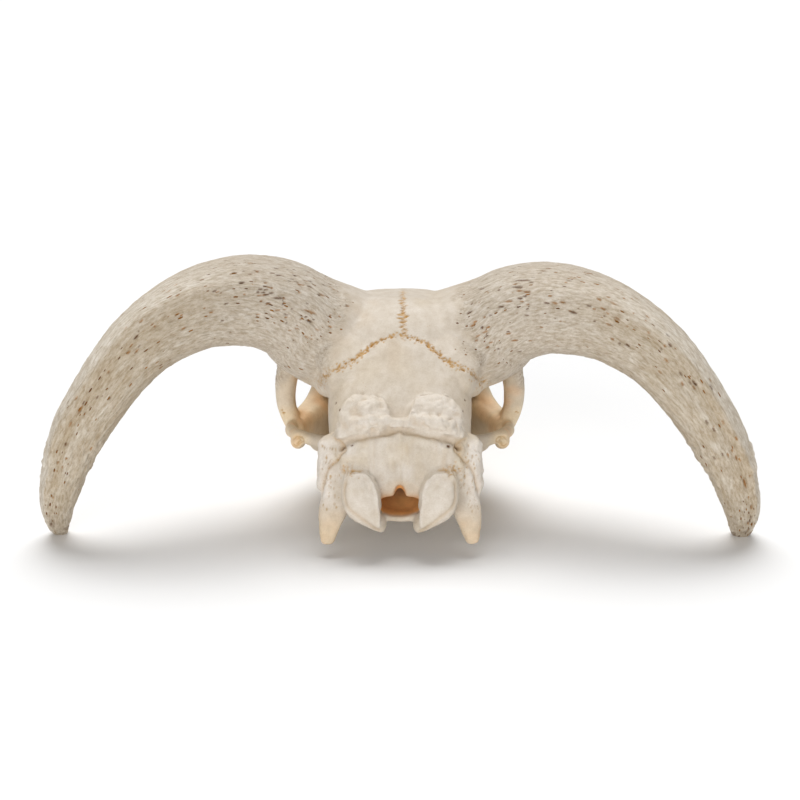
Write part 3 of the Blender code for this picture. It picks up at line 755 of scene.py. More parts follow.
def traced(skin, knots):
    """Points of a smooth path laid on the skin, with its directions."""
    steps = 40
    line = np.array([between(knots, k / steps) for k in range((len(knots) - 1) * steps + 1)])
    line = np.array([skin.tree.find(point)[0] for point in line.tolist()])
    window = 9
    kernel = np.ones(window) / window
    padded = np.pad(line, ((window // 2, window // 2), (0, 0)), "edge")
    line = np.stack([np.convolve(padded[:, axis], kernel, "valid") for axis in range(3)], axis=1)
    run = measured(line)
    even = np.arange(0, run[-1], SPACING)
    line = np.stack([np.interp(even, run, line[:, axis]) for axis in range(3)], axis=1)
    ways = np.gradient(line, axis=0)
    return line, ways / np.maximum(lengths(ways), 1e-9)[:, None]


def beside(skin, knots, reach):
    """Points near a path: their numbers, how far along it they are and how far to its side."""
    line, ways = traced(skin, knots)
    low, high = line.min(axis=0) - reach, line.max(axis=0) + reach
    near = np.nonzero(((skin.points > low) & (skin.points < high)).all(axis=1))[0]
    which = nearest(skin.points[near], line)
    offset = skin.points[near] - line[which]
    kept = lengths(offset) < reach
    near, which, offset = near[kept], which[kept], offset[kept]
    aside = np.cross(ways[which], skin.normals[near])
    return near, which * SPACING + (offset * ways[which]).sum(axis=1), (offset * aside).sum(axis=1)


def suture(skin, knots, swing, pitch, width, depth, colour, strength, seed):
    """An interlocking line between two bones, with stained hollows along it."""
    found, run, aside = beside(skin, knots, swing * 1.6 + 3)
    seeds = np.stack([run, np.full(len(run), seed * 7.1), np.zeros(len(run))], axis=1)
    saw = np.abs((run / pitch + 0.35 * noise(seeds, 2.3 * pitch, seed)) % 1 - 0.5) * 4 - 1
    size = swing * (0.75 + 0.45 * noise(seeds, 3.1 * pitch, seed + 1))
    middle = size * saw + 0.5 * swing * noise(seeds, 11.0, seed + 2)
    apart = np.abs(aside - middle) / np.sqrt(1 + (4 * size / pitch) ** 2)
    line = fall(apart, 0.25 * width, width)
    broken = step(noise(seeds, pitch * 0.8, seed + 3) + noise(skin.points[found], 2.2, seed), -0.9, 0.3)
    broken = 0.35 + 0.65 * broken
    skin.raised[found] -= depth * line * (0.5 + 0.5 * broken)
    skin.paint(colour, line * broken * strength, found)


def crease(skin, knots, width, depth, colour, strength):
    """A soft groove along a path, or a ridge where its depth is below zero."""
    found, run, aside = beside(skin, knots, width * 3)
    line = bell(aside, width) * within(run, 0, 3, run.max() - 3, run.max())
    skin.raised[found] -= depth * line
    skin.paint(colour, line * strength, found)


def mirror(knots, side):
    return [(side * x, y, z) for x, y, z in knots]


def laid_on_back(skin, knots, side):
    return [tuple(skin.on_back(side * x, rise)) for x, rise in knots]


# The skin's relief and colour

def weathered(skin):
    """Gentle unevenness, stains and age over all bones."""
    p = skin.points
    skin.raised += unevenness(p)
    skin.paint(CREAM, 0.25 * step(noise(p, 28, 4) + 0.4 * noise(p, 9, 5), -0.1, 0.9))
    skin.paint(STAIN_AND_SHADE, 0.16 * step(noise(p, 17, 6) + 0.5 * noise(p, 5, 7), 0.1, 1.0))
    skin.paint(CHALK, 0.30 * step(noise(p, 9, 8) + 0.4 * noise(p, 2.5, 9), 0.2, 1.0))
    front = step(p[:, 1], 92, 150)
    skin.paint(CREAM, 0.55 * front)
    skin.paint(STAIN_AND_SHADE, front * (0.10 + 0.35 * step(noise(p, 14, 10) + 0.4 * noise(p, 4, 11), 0.0, 0.9)))


def horn_texture(skin, side):
    """Furrows, a rear edge, pits and tan colour on one horn core."""
    line = horn_line(side, 14)
    middle, along, out, away = (np.array([cut[k] for cut in line]) for k in range(4))
    thick, deep = (np.array([cut[k] for cut in line]) for k in (4, 5))
    run = measured(middle)
    total = run[-1]
    ahead = ahead_of(HORN_BASE, skin.points, side)
    near = np.nonzero((ahead > -16) & (skin.points[:, 0] * side > 18))[0]
    p = skin.points[near]
    which = nearest(p, middle)
    offset = p - middle[which]
    s, u, v = ((offset * ways[which]).sum(axis=1) for ways in (along, out, away))
    s += run[which]
    v *= side
    place = np.stack([s, u, v + 300 * side], axis=1)
    skin.grain[near] = place
    share = step(ahead[near] + 3.5 * noise(p, 7, 21) + 1.6 * noise(p, 2.6, 22), -8, 1.5)
    skin.horn[near] = share
    turn = np.arctan2(v / deep[which], u / thick[which])

    fine = furrows(place, (20, 1.7, 1.7), 23)
    coarse = furrows(place, (46, 4.4, 4.4), 24)
    hair = noise(place, (9, 0.9, 0.9), 25)
    pocks = noise(place, (3.2, 1.6, 1.6), 36)
    waves = 0.26 * noise(place, (40, 12, 12), 26)
    relief = 0.07 - 0.18 * fine - 0.24 * coarse + 0.10 * hair + 0.20 * pocks + waves
    past = turn - RIDGE_TURN + 0.10 * noise(place, (30, 9, 9), 37)
    middle_part = within(s, 60, 110, total - 50, total - 12)
    edge = bell(past, 0.14) * middle_part
    inside = bell(past + 0.30, 0.16) * middle_part
    knobs = 0.4 * noise(place, (14, 6, 6), 27)
    beneath = bell(math.pi - np.abs(turn), 0.9) * bell(s - 55, 26)
    skin.raised[near] += share * (relief + edge * (1.2 + knobs) - inside * (0.7 + knobs) - 2.0 * beneath)

    band = within(past, 0.0, 0.15, 0.75, 1.1) * step(s, 80, 120)
    root = fall(s, 60, 170) * bell(turn + 0.5, 0.6)
    dense = 0.15 + 0.60 * bell(past + 0.35, 0.40) + 0.45 * root - 0.08 * band
    skin.pitted[near] = np.clip(dense * (0.75 + 0.5 * noise(p, 13, 38)), 0.03, 1) * share
    worn = step(relief + 0.5 * noise(p, 5, 28), -0.3, 0.5)
    streak = step(noise(place, (30, 3, 3), 29) + 0.6 * noise(place, (12, 1.3, 1.3), 30), -0.5, 0.8)
    golden = step(noise(p, 15, 32) + 0.5 * noise(place, (9, 2, 2), 33), -0.2, 0.8)
    tip = step(s, total - 34, total - 4)
    for colour, amount in (
        (HORN, 0.95),
        (HORN_LIGHT, 0.55 * worn * (0.6 + 0.4 * streak)),
        (HORN_DEEP, 0.40 * (1 - streak) * (1 - 0.4 * worn)),
        (HORN_DEEP, 0.45 * fine * step(noise(p, 9, 31), -0.6, 0.5)),
        (GOLD, 0.16 * bell(turn, 0.9) * golden),
        (HORN_LIGHT, 0.85 * band),
        (PALE, 0.35 * band),
        (HORN_DEEP, 0.55 * inside),
        (PALE, 0.75 * fall(s, 60, 150)),
        (HORN_LIGHT, 0.35 * tip),
        (BROWN, 0.55 * tip * step(noise(p, 3.2, 34), 0.15, 0.6)),
    ):
        skin.paint(colour, amount * share, near)
    scattered(skin, near, along[which], share, side)


def scattered(skin, near, ways, share, side):
    """Pits and long slots over a horn core, closer inside its rear edge and by its base."""
    draw = np.random.default_rng(40 + side)
    weight = share * skin.pitted[near] ** 2 + 1e-9
    for count, low, high, long in HORN_PITS:
        for k in draw.choice(len(near), count, replace=False, p=weight / weight.sum()):
            radius = draw.uniform(low, high)
            stretch = draw.uniform(1.2, long)
            colour = SLOT if draw.random() < 0.6 else BROWN
            depth = radius * draw.uniform(0.9, 1.5)
            pit(skin, skin.points[near[k]], ways[k], radius, stretch, depth, colour, draw.uniform(0.6, 1.0))


def sutures(skin):
    """Lines between the bones, stained and ladder-like on the vault."""
    suture(skin, INTERFRONTAL, 1.2, 2.4, 0.5, 0.4, GOLD, 0.6, 51)
    draw = np.random.default_rng(58)
    line = traced(skin, INTERFRONTAL)[0]
    for which in range(0, len(line), 2):
        aside = draw.uniform(-1.7, 1.7)
        place = skin.tree.find(line[which] + (aside, draw.normal(0, 0.3), 0))[0]
        way = np.array((1.0, draw.normal(0.15, 0.35), 0.0))
        radius = draw.uniform(0.38, 0.66)
        stretch = draw.uniform(1.5, 3.6)
        pit(skin, place, way / math.sqrt(way @ way), radius, stretch, 0.7, GOLD, draw.uniform(0.5, 1.0))
    for side in (1, -1):
        arm = mirror(CORONAL, side)
        suture(skin, arm, 0.6, 2.2, 0.45, 0.2, STAIN_AND_SHADE, 0.3, 52 + side)
        draw = np.random.default_rng(60 + side)
        line, ways = traced(skin, arm)
        for k in range(CORONAL_SPECKS):
            share = draw.uniform(0, 1) ** 0.8
            which = int(share * (len(line) - 1))
            place = skin.tree.find(line[which] + draw.normal(0, 0.7 + 2.0 * share**1.5, 3))[0]
            radius = draw.uniform(0.32, 0.66)
            pit(skin, place, ways[which], radius, 1.2, radius * 0.8, GOLD, draw.uniform(0.6, 1.0))


def rough_bone(skin):
    """The rough pads and crest where the neck muscles held, and the streaked plate under them."""
    p, rise = skin.points, skin.rise
    x, y, z = p.T
    rear = fall(y, 18, 26)
    aside = np.abs(x) + 0.8 * noise(p, 5.5, 68)
    uneven = rise + 0.9 * noise(p, 5.5, 69)
    low, high = (np.interp(aside, PAD_REACH, edge) for edge in (PAD_LOWER, PAD_UPPER))
    pad = rear * fall(aside, 31.5, 33) * within(uneven, low - 0.7, low + 0.7, high - 1.6, high + 1.2)
    lumps = 0.8 * noise(p, 4.4, 71) + 0.6 * noise(p, 2.1, 72) - 0.5 * furrows(p, 3.4, 73)
    rim = bell(aside - 7.5 - 0.12 * (uneven - 76), 1.6) * step(uneven, 70, 73)
    lip = bell(uneven - low - 1.2, 1.3)
    skin.raised += pad * (0.6 + lumps + rim + lip * (0.7 + 0.7 * noise(p, 3.0, 92)))
    skin.paint(CHALK, 0.40 * pad)
    skin.paint(STAIN_AND_SHADE, 0.22 * pad * step(-lumps, 0.3, 1.2))
    skin.raised -= 0.7 * rear * bell(x, 6) * bell(rise - 74, 4)
    edge = np.interp(aside, PLATE_REACH, PLATE_TOP)
    under = rear * fall(aside, 29, 34)
    skin.raised -= 1.9 * under * bell(rise - edge, 2.4) * (0.9 + 0.3 * noise(p, 6, 80))
    # Painted shadow: a darker band just below the pads' lower lip
    skin.paint(STAIN_AND_SHADE, 0.30 * under * bell(rise - low + 1.5, 1.5))
    skin.raised += 1.3 * rear * bell(x, 2.2) * within(rise, 50, 60, 65, 68)
    plate = rear * step(z, 34, 44) * fall(rise, low - 2, low + 1)
    streaks = noise(p * (1, 1, 0.16), 1.5, 75) + 0.5 * noise(p * (1, 1, 0.3), 3.4, 81)
    skin.raised += plate * (0.42 * streaks + 0.65 * noise(p, 6.5, 82) + 0.38 * noise(p, 2.6, 88))
    skin.paint(CHALK, 0.40 * plate * step(noise(p, 8, 93), -0.4, 0.6))
    skin.paint(STAIN_AND_SHADE, 0.18 * plate * step(streaks, 0.1, 0.9))
    skin.paint(CREAM, 0.30 * plate * step(noise(p, 7, 83), -0.2, 0.8))


def back_marks(skin):
    """Seams, edges, vessels' marks and small holes on the skull's back."""
    for side in (1, -1):
        for knots, width, depth, colour, strength in (
            (MASTOID_SEAM, 1.4, 0.8, STAIN_AND_SHADE, 0.15),
            (MASTOID_SEAM, 0.6, 0.7, STAIN_AND_SHADE, 0.40),
            (CONDYLE_EDGE, 1.0, -0.9, CHALK, 0.5),
            (CONDYLE_SIDE, 1.2, 0.7, STAIN_AND_SHADE, 0.35),
            (SQUAMA_MARKS, 0.8, 0.8, STAIN_AND_SHADE, 0.7),
            *((knots, 0.6, 0.45, STAIN_AND_SHADE, 0.5) for knots in VESSELS),
        ):
            crease(skin, laid_on_back(skin, knots, side), width, depth, colour, strength)
        notch = skin.on_back(side * MASTOID_NOTCH[0], MASTOID_NOTCH[1])
        # Painted shade: the notch is dug in, and its floor is painted stain colour and dark brown
        pit(skin, notch, (side * 0.8, 0, 0.6), 1.9, 1.5, 1.8, STAIN_AND_SHADE, 0.6)
        pit(skin, notch, (side * 0.8, 0, 0.6), 1.0, 1.9, 1.6, BROWN, 0.8)
        draw = np.random.default_rng(90 + side)
        for k in range(SQUAMA_SPECKS):
            place = skin.on_back(side * draw.normal(26.0, 3.2), draw.normal(45.5, 1.6))
            radius = draw.uniform(0.3, 0.6)
            pit(skin, place, (1, 0, 0), radius, 1.4, radius, GOLD, draw.uniform(0.3, 0.8))
        for k in range(MASTOID_SPECKS):
            place = skin.on_back(side * draw.uniform(31, 41), draw.uniform(24, 58))
            radius = draw.uniform(0.3, 0.55)
            pit(skin, place, (0, 0, 1), radius, 1.6, radius, STAIN_AND_SHADE, draw.uniform(0.3, 0.9))
        for k in range(CHEEK_SPECKS):
            place = skin.tree.find((side * draw.uniform(55, 67), 86, draw.normal(51.5, 0.9)))[0]
            pit(skin, place, (1, 0, 0), draw.uniform(0.35, 0.55), 1.6, 0.5, GOLD, draw.uniform(0.5, 1.0))
        for radius in (1.3, 2.9):
            turns = [2 * math.pi * k / 10 for k in range(11)]
            ring = [(KNOB[0] + radius * math.cos(turn), KNOB[1] + radius * math.sin(turn)) for turn in turns]
            crease(skin, laid_on_back(skin, ring, side), 0.55, 0.6, GOLD, 0.55)
    for x, rise, radius, depth in FORAMINA:
        pit(skin, skin.on_back(x, rise), (1, 0, 0), radius, 1.2, depth, BROWN)


def smooth_joints(skin):
    """The condyles' smooth faces, the mastoids' rough pale bone and the processes' warm tips."""
    p = skin.points
    y, z = p[:, 1], p[:, 2]
    for side in (1, -1):
        x = p[:, 0] * side
        spot = bell(x - 20, 11) * bell(z - 30, 14) * fall(y, -1, 4)
        skin.paint(CREAM, 0.15 * spot)
        skin.paint(CHALK, 0.60 * spot)
        skin.raised -= spot * unevenness(p)
        mastoid = step(x, 32, 37) * within(z, 22, 32, 56, 62) * fall(y, 22, 28)
        knobs = 0.45 * noise(p, 5.0, 84) + 0.30 * noise(p, 2.2, 85) - 0.25 * furrows(p, 4, 86)
        skin.raised += mastoid * knobs
        skin.paint(CHALK, mastoid)
        process = step(x, 27, 31) * fall(z, 8, 32) * fall(y, 14, 20)
        skin.raised += process * 0.3 * noise(p, 2.6, 87)
        skin.paint(IVORY, 0.5 * process)
        skin.paint(AMBER, 0.25 * process * (0.6 + 0.4 * noise(p, 3, 76)))


def hollows(skin):
    """Painted light and shade in the openings, warm bone inside them, and the ivory of the cheek bones round
    them.
    """
    p = skin.points
    x, y, z = p.T
    turned = skin.normals[:, 0]
    middle = 27.0 + 0.55 * np.maximum(y, 0)
    inward = fall(turned * x + skin.normals[:, 2] * (z - middle), -3, 3)
    canal = inward * fall(np.hypot(x, z - middle), 13.0, 15.0) * within(y, -1, 4, 46, 52)
    # Painted light and shade in the foramen magnum: amber, partly the bone's warm tone and partly painted
    # light, lightens its shaded inside, and gold darkens it deeper in as painted shade
    skin.paint(AMBER, canal)
    skin.paint(GOLD, 0.5 * canal * step(y, 14, 34))
    nose = fall(np.abs(x), 14, 17.5) * step(y, 146, 160) * step(z, 18, 24)
    # Painted shade: stain colour on the inward faces inside the nose
    skin.paint(STAIN_AND_SHADE, 0.8 * nose * step(0.2 - turned * np.sign(x), 0, 0.6))
    for side in (1, -1):
        out = x * side
        q = p * (side, 1, 1) - np.array(ORBIT_CENTRE)
        into = -(q @ np.array(ORBIT_FACING))
        apart = lengths(q + np.outer(into, ORBIT_FACING))
        hole = within(into, 3, 16, 40, 46) * fall(apart, 22, 26)
        # Painted light and shade in the orbit: ivory lightens its shaded hollow, gold darkens it deeper in,
        # and thin brown lines run through it
        skin.paint(IVORY, 0.9 * hole)
        skin.paint(GOLD, 0.45 * hole * step(noise(p, 9, 77) + into / 30, 0, 1.2))
        skin.paint(BROWN, 0.7 * hole * step(furrows(p, 7.0, 91), 0.86, 0.97))
        arch = step(out, 44, 52) * fall(y, 108, 124) * fall(z, 78, 92)
        skin.paint(IVORY, 0.8 * arch * (1 - 0.6 * step(z, 50, 58)))
        skin.paint(AMBER, 0.30 * arch * step(noise(p, 8, 89) + 0.4 * noise(p, 3, 64), -0.2, 0.9))
        back = within(out, 26, 32, 53, 58) * within(y, 76, 90, 126, 134) * within(z, 38, 48, 84, 92)
        # Painted light: ivory and amber lighten the shaded bone seen behind the postorbital bar
        skin.paint(IVORY, 0.7 * back)
        skin.paint(AMBER, 0.35 * back * step(noise(p, 9, 94), -0.6, 0.8))
        wall = bell(out - 36, 9) * bell(y - 70, 26) * fall(z, 66, 84) * step(turned * side, 0.0, 0.5)
        # Painted light: ivory and gold patches lighten the shaded wall of the temple
        skin.paint(IVORY, 0.7 * wall)
        skin.paint(GOLD, 0.6 * wall * step(noise(p, 8, 78) + 0.5 * noise(p, 2.5, 79), -0.2, 0.8))


# Pieces

def quad_piece(name, skin, chosen, points, normals, material):
    """The chosen faces of the skin as one smooth object."""
    used, corners = np.unique(skin.quads[chosen], return_inverse=True)
    count = int(chosen.sum())
    mesh = bpy.data.meshes.new(name)
    mesh.vertices.add(len(used))
    mesh.vertices.foreach_set("co", (points[used] * MM).ravel())
    mesh.loops.add(count * 4)
    mesh.loops.foreach_set("vertex_index", corners.ravel().astype(np.int32))
    mesh.polygons.add(count)
    mesh.polygons.foreach_set("loop_start", np.arange(0, count * 4, 4, dtype=np.int32))
    mesh.update(calc_edges=True)
    mesh.shade_smooth()
    mesh.normals_split_custom_set_from_vertices(normals[used])
    tint = mesh.color_attributes.new("tint", "FLOAT_COLOR", "POINT")
    tint.data.foreach_set("color", np.column_stack([skin.colour[used], np.ones(len(used))]).ravel())
    grain = mesh.attributes.new("grain", "FLOAT_VECTOR", "POINT")
    grain.data.foreach_set("vector", skin.grain[used].ravel())
    for label, values in (("horn", skin.horn), ("pitted", skin.pitted)):
        share = mesh.attributes.new(label, "FLOAT", "POINT")
        share.data.foreach_set("value", values[used])
    mesh.materials.append(material)
    made = bpy.data.objects.new(name, mesh)
    bpy.context.scene.collection.objects.link(made)
    return made


def parted(skin):
    """Which named bone each face of the skin belongs to, by the same planes as in the solids."""
    middles = skin.points[skin.quads].mean(axis=1)
    x = middles[:, 0]

    def past(plane, side=1):
        return ahead_of(plane, middles, side) > 0

    back = ~past(CORONAL_ARM) & ~past(CORONAL_ARM, -1) & ~past(CORONAL_BASE)
    cheek = (np.abs(x) > CHEEK_INSIDE) & past(CHEEK_TOP)
    roof = (np.abs(x) < NASAL_SIDE) & past(NASAL_BASE)
    muzzle = past(PREMAXILLARY)
    left = np.ones(len(x), bool)
    found = {}
    for name, rule in (
        ("horn_core_right", past(HORN_BASE)),
        ("horn_core_left", past(HORN_BASE, -1)),
        ("occiput", back & ~past(NUCHAL)),
        ("braincase", back),
        ("cheek_right", cheek & (x > 0)),
        ("cheek_left", cheek),
        ("frontal", ~past(NASOFRONTAL)),
        ("nasal_bones", roof),
        ("premaxilla_right", muzzle & (x > 0)),
        ("premaxilla_left", muzzle),
        ("upper_jaw", left),
    ):
        found[name] = left & rule
        left = left & ~rule
    return found


# Materials

class Nodes:
    """A material's nodes, made one by one. Each maker gives back the new node's output."""

    def __init__(self, name):
        self.material = bpy.data.materials.new(name)
        self.material.use_nodes = True
        self.tree = self.material.node_tree
        self.shader = self.tree.nodes["Principled BSDF"]

    def add(self, kind, inputs=(), **settings):
        node = self.tree.nodes.new("ShaderNode" + kind)
        for key, value in settings.items():
            setattr(node, key, value)
        for key, value in dict(inputs).items():
            if isinstance(value, bpy.types.NodeSocket):
                self.tree.links.new(value, node.inputs[key])
            else:
                node.inputs[key].default_value = value
        return node.outputs

    def dress(self, **values):
        """Sets the shader's sockets, whose names have spaces for the lines between words."""
        for key, value in values.items():
            socket = self.shader.inputs[key.replace("_", " ")]
            if isinstance(value, bpy.types.NodeSocket):
                self.tree.links.new(value, socket)
            else:
                socket.default_value = value

    def painted(self, name, output="Fac"):
        return self.add("Attribute", attribute_name=name)[output]

    def noise(self, place, scale, detail, roughness=0.5):
        inputs = {"Vector": place, "Scale": scale, "Detail": detail, "Roughness": roughness}
        return self.add("TexNoise", inputs)["Fac"]

    def cells(self, place, scale):
        return self.add("TexVoronoi", {"Vector": place, "Scale": scale, "Randomness": 1.0})

    def stretched(self, place, scale):
        return self.add("Mapping", {"Vector": place, "Scale": scale})[0]

    def sum_of(self, operation, a, b):
        return self.add("Math", {0: a, 1: b}, operation=operation)[0]

    def times(self, a, b):
        return self.sum_of("MULTIPLY", a, b)

    def plus(self, a, b):
        return self.sum_of("ADD", a, b)

    def minus(self, a, b):
        return self.sum_of("SUBTRACT", a, b)

    def ranged(self, value, low, high, to_low=0.0, to_high=1.0):
        inputs = {"Value": value, "From Min": low, "From Max": high, "To Min": to_low, "To Max": to_high}
        return self.add("MapRange", inputs)["Result"]

    def mixed(self, share, a, b, blend="MIX"):
        """A mix of two colours, which are the node's inputs 6 and 7, as its output 2."""
        return self.add("Mix", {0: share, 6: a, 7: b}, data_type="RGBA", blend_type=blend)[2]

    def bumped(self, height, strength, distance):
        return self.add("Bump", {"Height": height, "Strength": strength, "Distance": distance * MM})["Normal"]


def opaque(colour):
    return (*linear(colour), 1.0)


def bone_material(name, roughness):
    """Dry bone: the skin's colours, with fine grain, pores and lengthwise furrows on the horn cores, partly
    painted as shade.
    """
    nodes = Nodes(name)
    tint, grain = nodes.painted("tint", "Color"), nodes.painted("grain", "Vector")
    horn, pitted = nodes.painted("horn"), nodes.painted("pitted")
    place = nodes.add("TexCoord")["Object"]
    cloud = nodes.noise(place, 210.0, 6.0, 0.62)
    specks = nodes.noise(place, 1500.0, 3.0, 0.6)
    hairs = nodes.noise(nodes.stretched(grain, (0.24, 0.9, 0.9)), 1.0, 5.0, 0.68)
    pores = nodes.cells(nodes.stretched(grain, (0.30, 1.0, 1.0)), 0.62)
    dots = nodes.cells(place, 460.0)

    dice = nodes.add("SeparateColor", {"Color": pores["Color"]})
    size = nodes.ranged(dice["Green"], 0.0, 1.0, 0.13, 0.29)
    pore = nodes.ranged(nodes.minus(size, pores["Distance"]), 0.0, 0.04)
    pore = nodes.times(pore, nodes.sum_of("LESS_THAN", dice["Red"], pitted))
    dot = nodes.ranged(dots["Distance"], 0.08, 0.2, 1.0, 0.0)
    dot = nodes.times(dot, nodes.ranged(specks, 0.5, 0.62, 0.0, 0.6))

    light = nodes.ranged(cloud, 0.3, 0.7, 0.88, 1.09)
    fleck = nodes.ranged(specks, 0.3, 0.7, 0.94, 1.05)
    # On the horn cores the lengthwise streaks darken and lighten the colour: partly grain, and partly painted
    # shade and light of the fine furrows
    streak = nodes.ranged(hairs, 0.36, 0.60, 0.74, 1.17)
    streak = nodes.plus(nodes.times(nodes.minus(streak, 1.0), horn), 1.0)
    shade = nodes.times(nodes.times(light, fleck), streak)
    red, blue = nodes.sum_of("POWER", shade, 0.8), nodes.sum_of("POWER", shade, 1.3)
    warm = nodes.add("CombineColor", {"Red": red, "Green": shade, "Blue": blue})[0]
    colour = nodes.mixed(1.0, tint, warm, "MULTIPLY")
    colour = nodes.mixed(pore, colour, nodes.mixed(dice["Blue"], opaque(BROWN), opaque(SLOT)))
    colour = nodes.mixed(dot, colour, opaque(STAIN_AND_SHADE))
    rough = nodes.ranged(cloud, 0.3, 0.7, roughness - 0.08, roughness + 0.1)

    height = nodes.plus(nodes.times(cloud, 0.22), nodes.times(specks, 0.10))
    height = nodes.plus(height, nodes.times(nodes.times(hairs, horn), 2.0))
    height = nodes.minus(height, nodes.times(pore, 1.1))
    height = nodes.minus(height, nodes.times(dot, 0.15))
    normal = nodes.bumped(height, 0.8, 0.6)
    nodes.dress(Base_Color=colour, Roughness=rough, Specular_IOR_Level=0.32, Normal=normal)
    return nodes.material


def enamel_material():
    """Ivory enamel with brown stains in its grooves."""
    nodes = Nodes("enamel")
    place = nodes.add("TexCoord")["Object"]
    fold = nodes.painted("fold")
    streak = nodes.noise(nodes.stretched(place, (1.0, 1.0, 0.25)), 620.0, 4.0)
    cloud = nodes.noise(place, 160.0, 5.0)
    colour = nodes.mixed(nodes.ranged(cloud, 0.35, 0.65), opaque(ENAMEL), opaque(DENTINE))
    stain = nodes.plus(fold, nodes.ranged(streak, 0.35, 0.7, -0.25, 0.35))
    colour = nodes.mixed(nodes.ranged(stain, 0.1, 1.0, 0.0, 0.85), colour, opaque(TARTAR))
    rough = nodes.ranged(streak, 0.3, 0.7, 0.28, 0.5)
    nodes.dress(Base_Color=colour, Roughness=rough, Normal=nodes.bumped(streak, 0.5, 0.25))
    return nodes.material


# Teeth

def tooth(name, x, y, half_length, half_width, lobes, side, material):
    """A worn cheek tooth: ribbed outside, folded into crescents, with ridges of enamel on its worn face."""
    bm = bmesh.new()
    fold = bm.verts.layers.float.new("fold")
    angles = [2 * math.pi * k / TOOTH_SIDES for k in range(TOOTH_SIDES)]

    def placed(size, height, angle, stain):
        """A point of the tooth's outline at some size, with how deep its stain is."""
        c, s = power_of(angle, 3.0)
        waist = 1 - 0.20 * math.exp(-(s / 0.16) ** 2) if lobes == 2 else 1.0
        ribs = 0.05 * math.cos(angle * 2 * (lobes + 1)) if c > 0 else 0.03 * math.cos(angle * 2 * lobes)
        reach = size * (waist + ribs)
        vert = bm.verts.new((x + half_width * reach * c, y + half_length * size * s * (1 + 0.02 * c), height))
        vert[fold] = stain
        return vert

    def relief(share, angle):
        """Height of the worn face: an outer ridge, two crescent valleys and their ridges."""
        across, lengthwise = share * math.cos(angle), share * math.sin(angle)
        pitch = (2 * lengthwise + 1) % 2 - 1 if lobes == 2 else lengthwise
        crescent = math.hypot(pitch * 0.8, across * side + 0.15)
        valley = math.exp(-((crescent - 0.42) / 0.13) ** 2)
        rim = math.exp(-((share - 0.86) / 0.08) ** 2)
        return 0.5 + 1.3 * valley + 0.9 * (1 - rim) * (0.4 if share < 0.8 else 0.2)

    loops = []
    for height, size in CROWN:
        root = 0.5 * step(height, 6, 15)
        groove = [0.8 * math.exp(-(math.sin(angle) / 0.14) ** 2) * (lobes - 1) for angle in angles]
        loops.append([placed(size, height, angle, deep + root) for angle, deep in zip(angles, groove)])
    for share in WORN_FACE:
        loop = []
        for angle in angles:
            depth = relief(share, angle)
            loop.append(placed(share, 0.1 + max(0.0, depth - 0.6), angle, min(1.0, max(0.0, depth - 0.8))))
        loops.append(loop)
    for high, low in zip(loops, loops[1:]):
        for k in range(TOOTH_SIDES):
            n = (k + 1) % TOOTH_SIDES
            bm.faces.new((high[k], high[n], low[n], low[k]))
    bm.faces.new(loops[0])
    bm.faces.new(loops[-1])
    made = new_object(name, bm)
    made.data.shade_smooth()
    made.data.transform(Matrix.Translation(-ORIGIN * MM))
    made.data.materials.append(material)
    return made


def teeth(material):
    """Six cheek teeth a side, three premolars and three molars, growing larger to the rear."""
    total = sum(length for length, width in TOOTH_SIZES)
    rear, front = Vector(TOOTH_ROW_REAR), Vector(TOOTH_ROW_FRONT)
    made = []
    done = 0.0
    for number, (length, width) in enumerate(TOOTH_SIZES):
        x, y = front.lerp(rear, (done + length / 2) / total)
        done += length
        lobes = 1 if number < 3 else 2
        half = (length - TOOTH_GAP) / 2
        for side, word in ((1, "right"), (-1, "left")):
            name = f"tooth_{word}_{number + 1}"
            made.append(tooth(name, side * x, y, half, width / 2, lobes, side, material))
    return made


# Stage

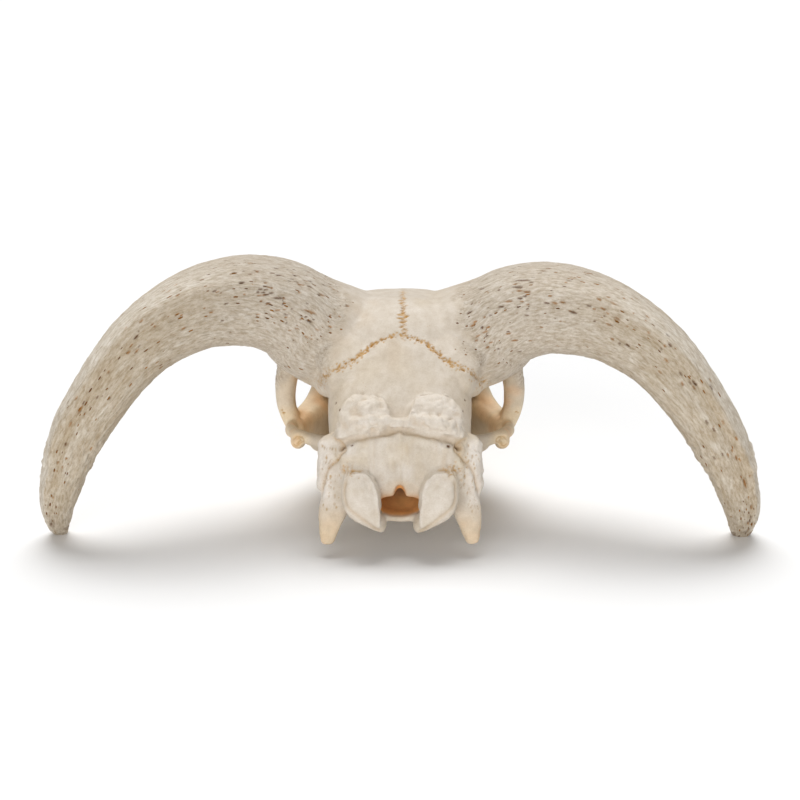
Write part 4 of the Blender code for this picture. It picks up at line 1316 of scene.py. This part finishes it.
def stage():
    """A plain pale floor and soft light."""
    bm = bmesh.new()
    bmesh.ops.create_grid(bm, x_segments=2, y_segments=2, size=FLOOR_REACH)
    floor = new_object("floor", bm)
    nodes = Nodes("floor_white")
    nodes.dress(Base_Color=(0.93, 0.93, 0.93, 1.0), Roughness=0.9, Specular_IOR_Level=0.1)
    floor.data.materials.append(nodes.material)
    scene = bpy.context.scene
    scene.world = bpy.data.worlds.new("studio")
    scene.world.use_nodes = True
    sky = scene.world.node_tree.nodes["Background"]
    sky.inputs["Color"].default_value = (1.0, 1.0, 1.0, 1.0)
    sky.inputs["Strength"].default_value = SKY
    for name, way, strength, spread in LIGHTS:
        light = bpy.data.lights.new(name, "SUN")
        light.energy = strength
        light.angle = math.radians(spread)
        lamp = bpy.data.objects.new(name, light)
        lamp.rotation_euler = Vector(way).to_track_quat("Z", "Y").to_euler()
        scene.collection.objects.link(lamp)
    scene.view_settings.view_transform = "Standard"
    scene.view_settings.look = "None"


def camera():
    """The photo's view: from behind and a little above."""
    back = Vector((0, -math.cos(TILT), math.sin(TILT)))
    up = Vector((0, math.sin(TILT), math.cos(TILT)))
    data = bpy.data.cameras.new("camera")
    data.lens = LENS
    data.sensor_width = 36
    data.clip_end = 30
    eye = bpy.data.objects.new("camera", data)
    eye.location = (up * AIM_HEIGHT - ORIGIN + back * DISTANCE) * MM
    eye.rotation_euler = (-back).to_track_quat("-Z", "Y").to_euler()
    bpy.context.scene.collection.objects.link(eye)
    bpy.context.scene.camera = eye


# The whole

def skull_skin():
    body = fused("skull", [
        *braincase(), *occipital(), *ears(), *pterygoids(), *frontals(), *face(), *nasals(),
        horn("horn_right", 1), horn("horn_left", -1),
    ], softening=FIRST_SOFTENING)
    boolean(body, united("openings", openings()), "DIFFERENCE")
    body = fused("skull", [body, *orbit_rims(), *cheeks(), *nasals()])
    skin = Skin(body)
    bpy.data.objects.remove(body)
    return skin


def finished_points(skin):
    """The raised skin and its outward directions, kept within the solids' box."""
    ease = step(skin.points[:, 2], 0.3, 4)
    points = skin.points + skin.normals * (skin.raised * ease)[:, None]
    low, high = (np.array(corner) / MM for corner in cad_box)
    return np.clip(points - np.array(ORIGIN), low, high), skin.facing(points)


skin = skull_skin()
weathered(skin)
rough_bone(skin)
smooth_joints(skin)
hollows(skin)
sutures(skin)
back_marks(skin)
horn_texture(skin, 1)
horn_texture(skin, -1)

finish = {
    "horn_core_bone": bone_material("horn_core_bone", 0.72),
    "pale_bone": bone_material("pale_bone", 0.6),
    "warm_bone": bone_material("warm_bone", 0.58),
    "jaw_bone": bone_material("jaw_bone", 0.6),
}
points, normals = finished_points(skin)
for node, chosen in parted(skin).items():
    piece = quad_piece(node + "_skin", skin, chosen, points, normals, finish[SLOTS[node]])
    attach(piece, "root")
    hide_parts(node)
for piece in teeth(enamel_material()):
    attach(piece, "root")
    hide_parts("upper_jaw")

stage()
camera()
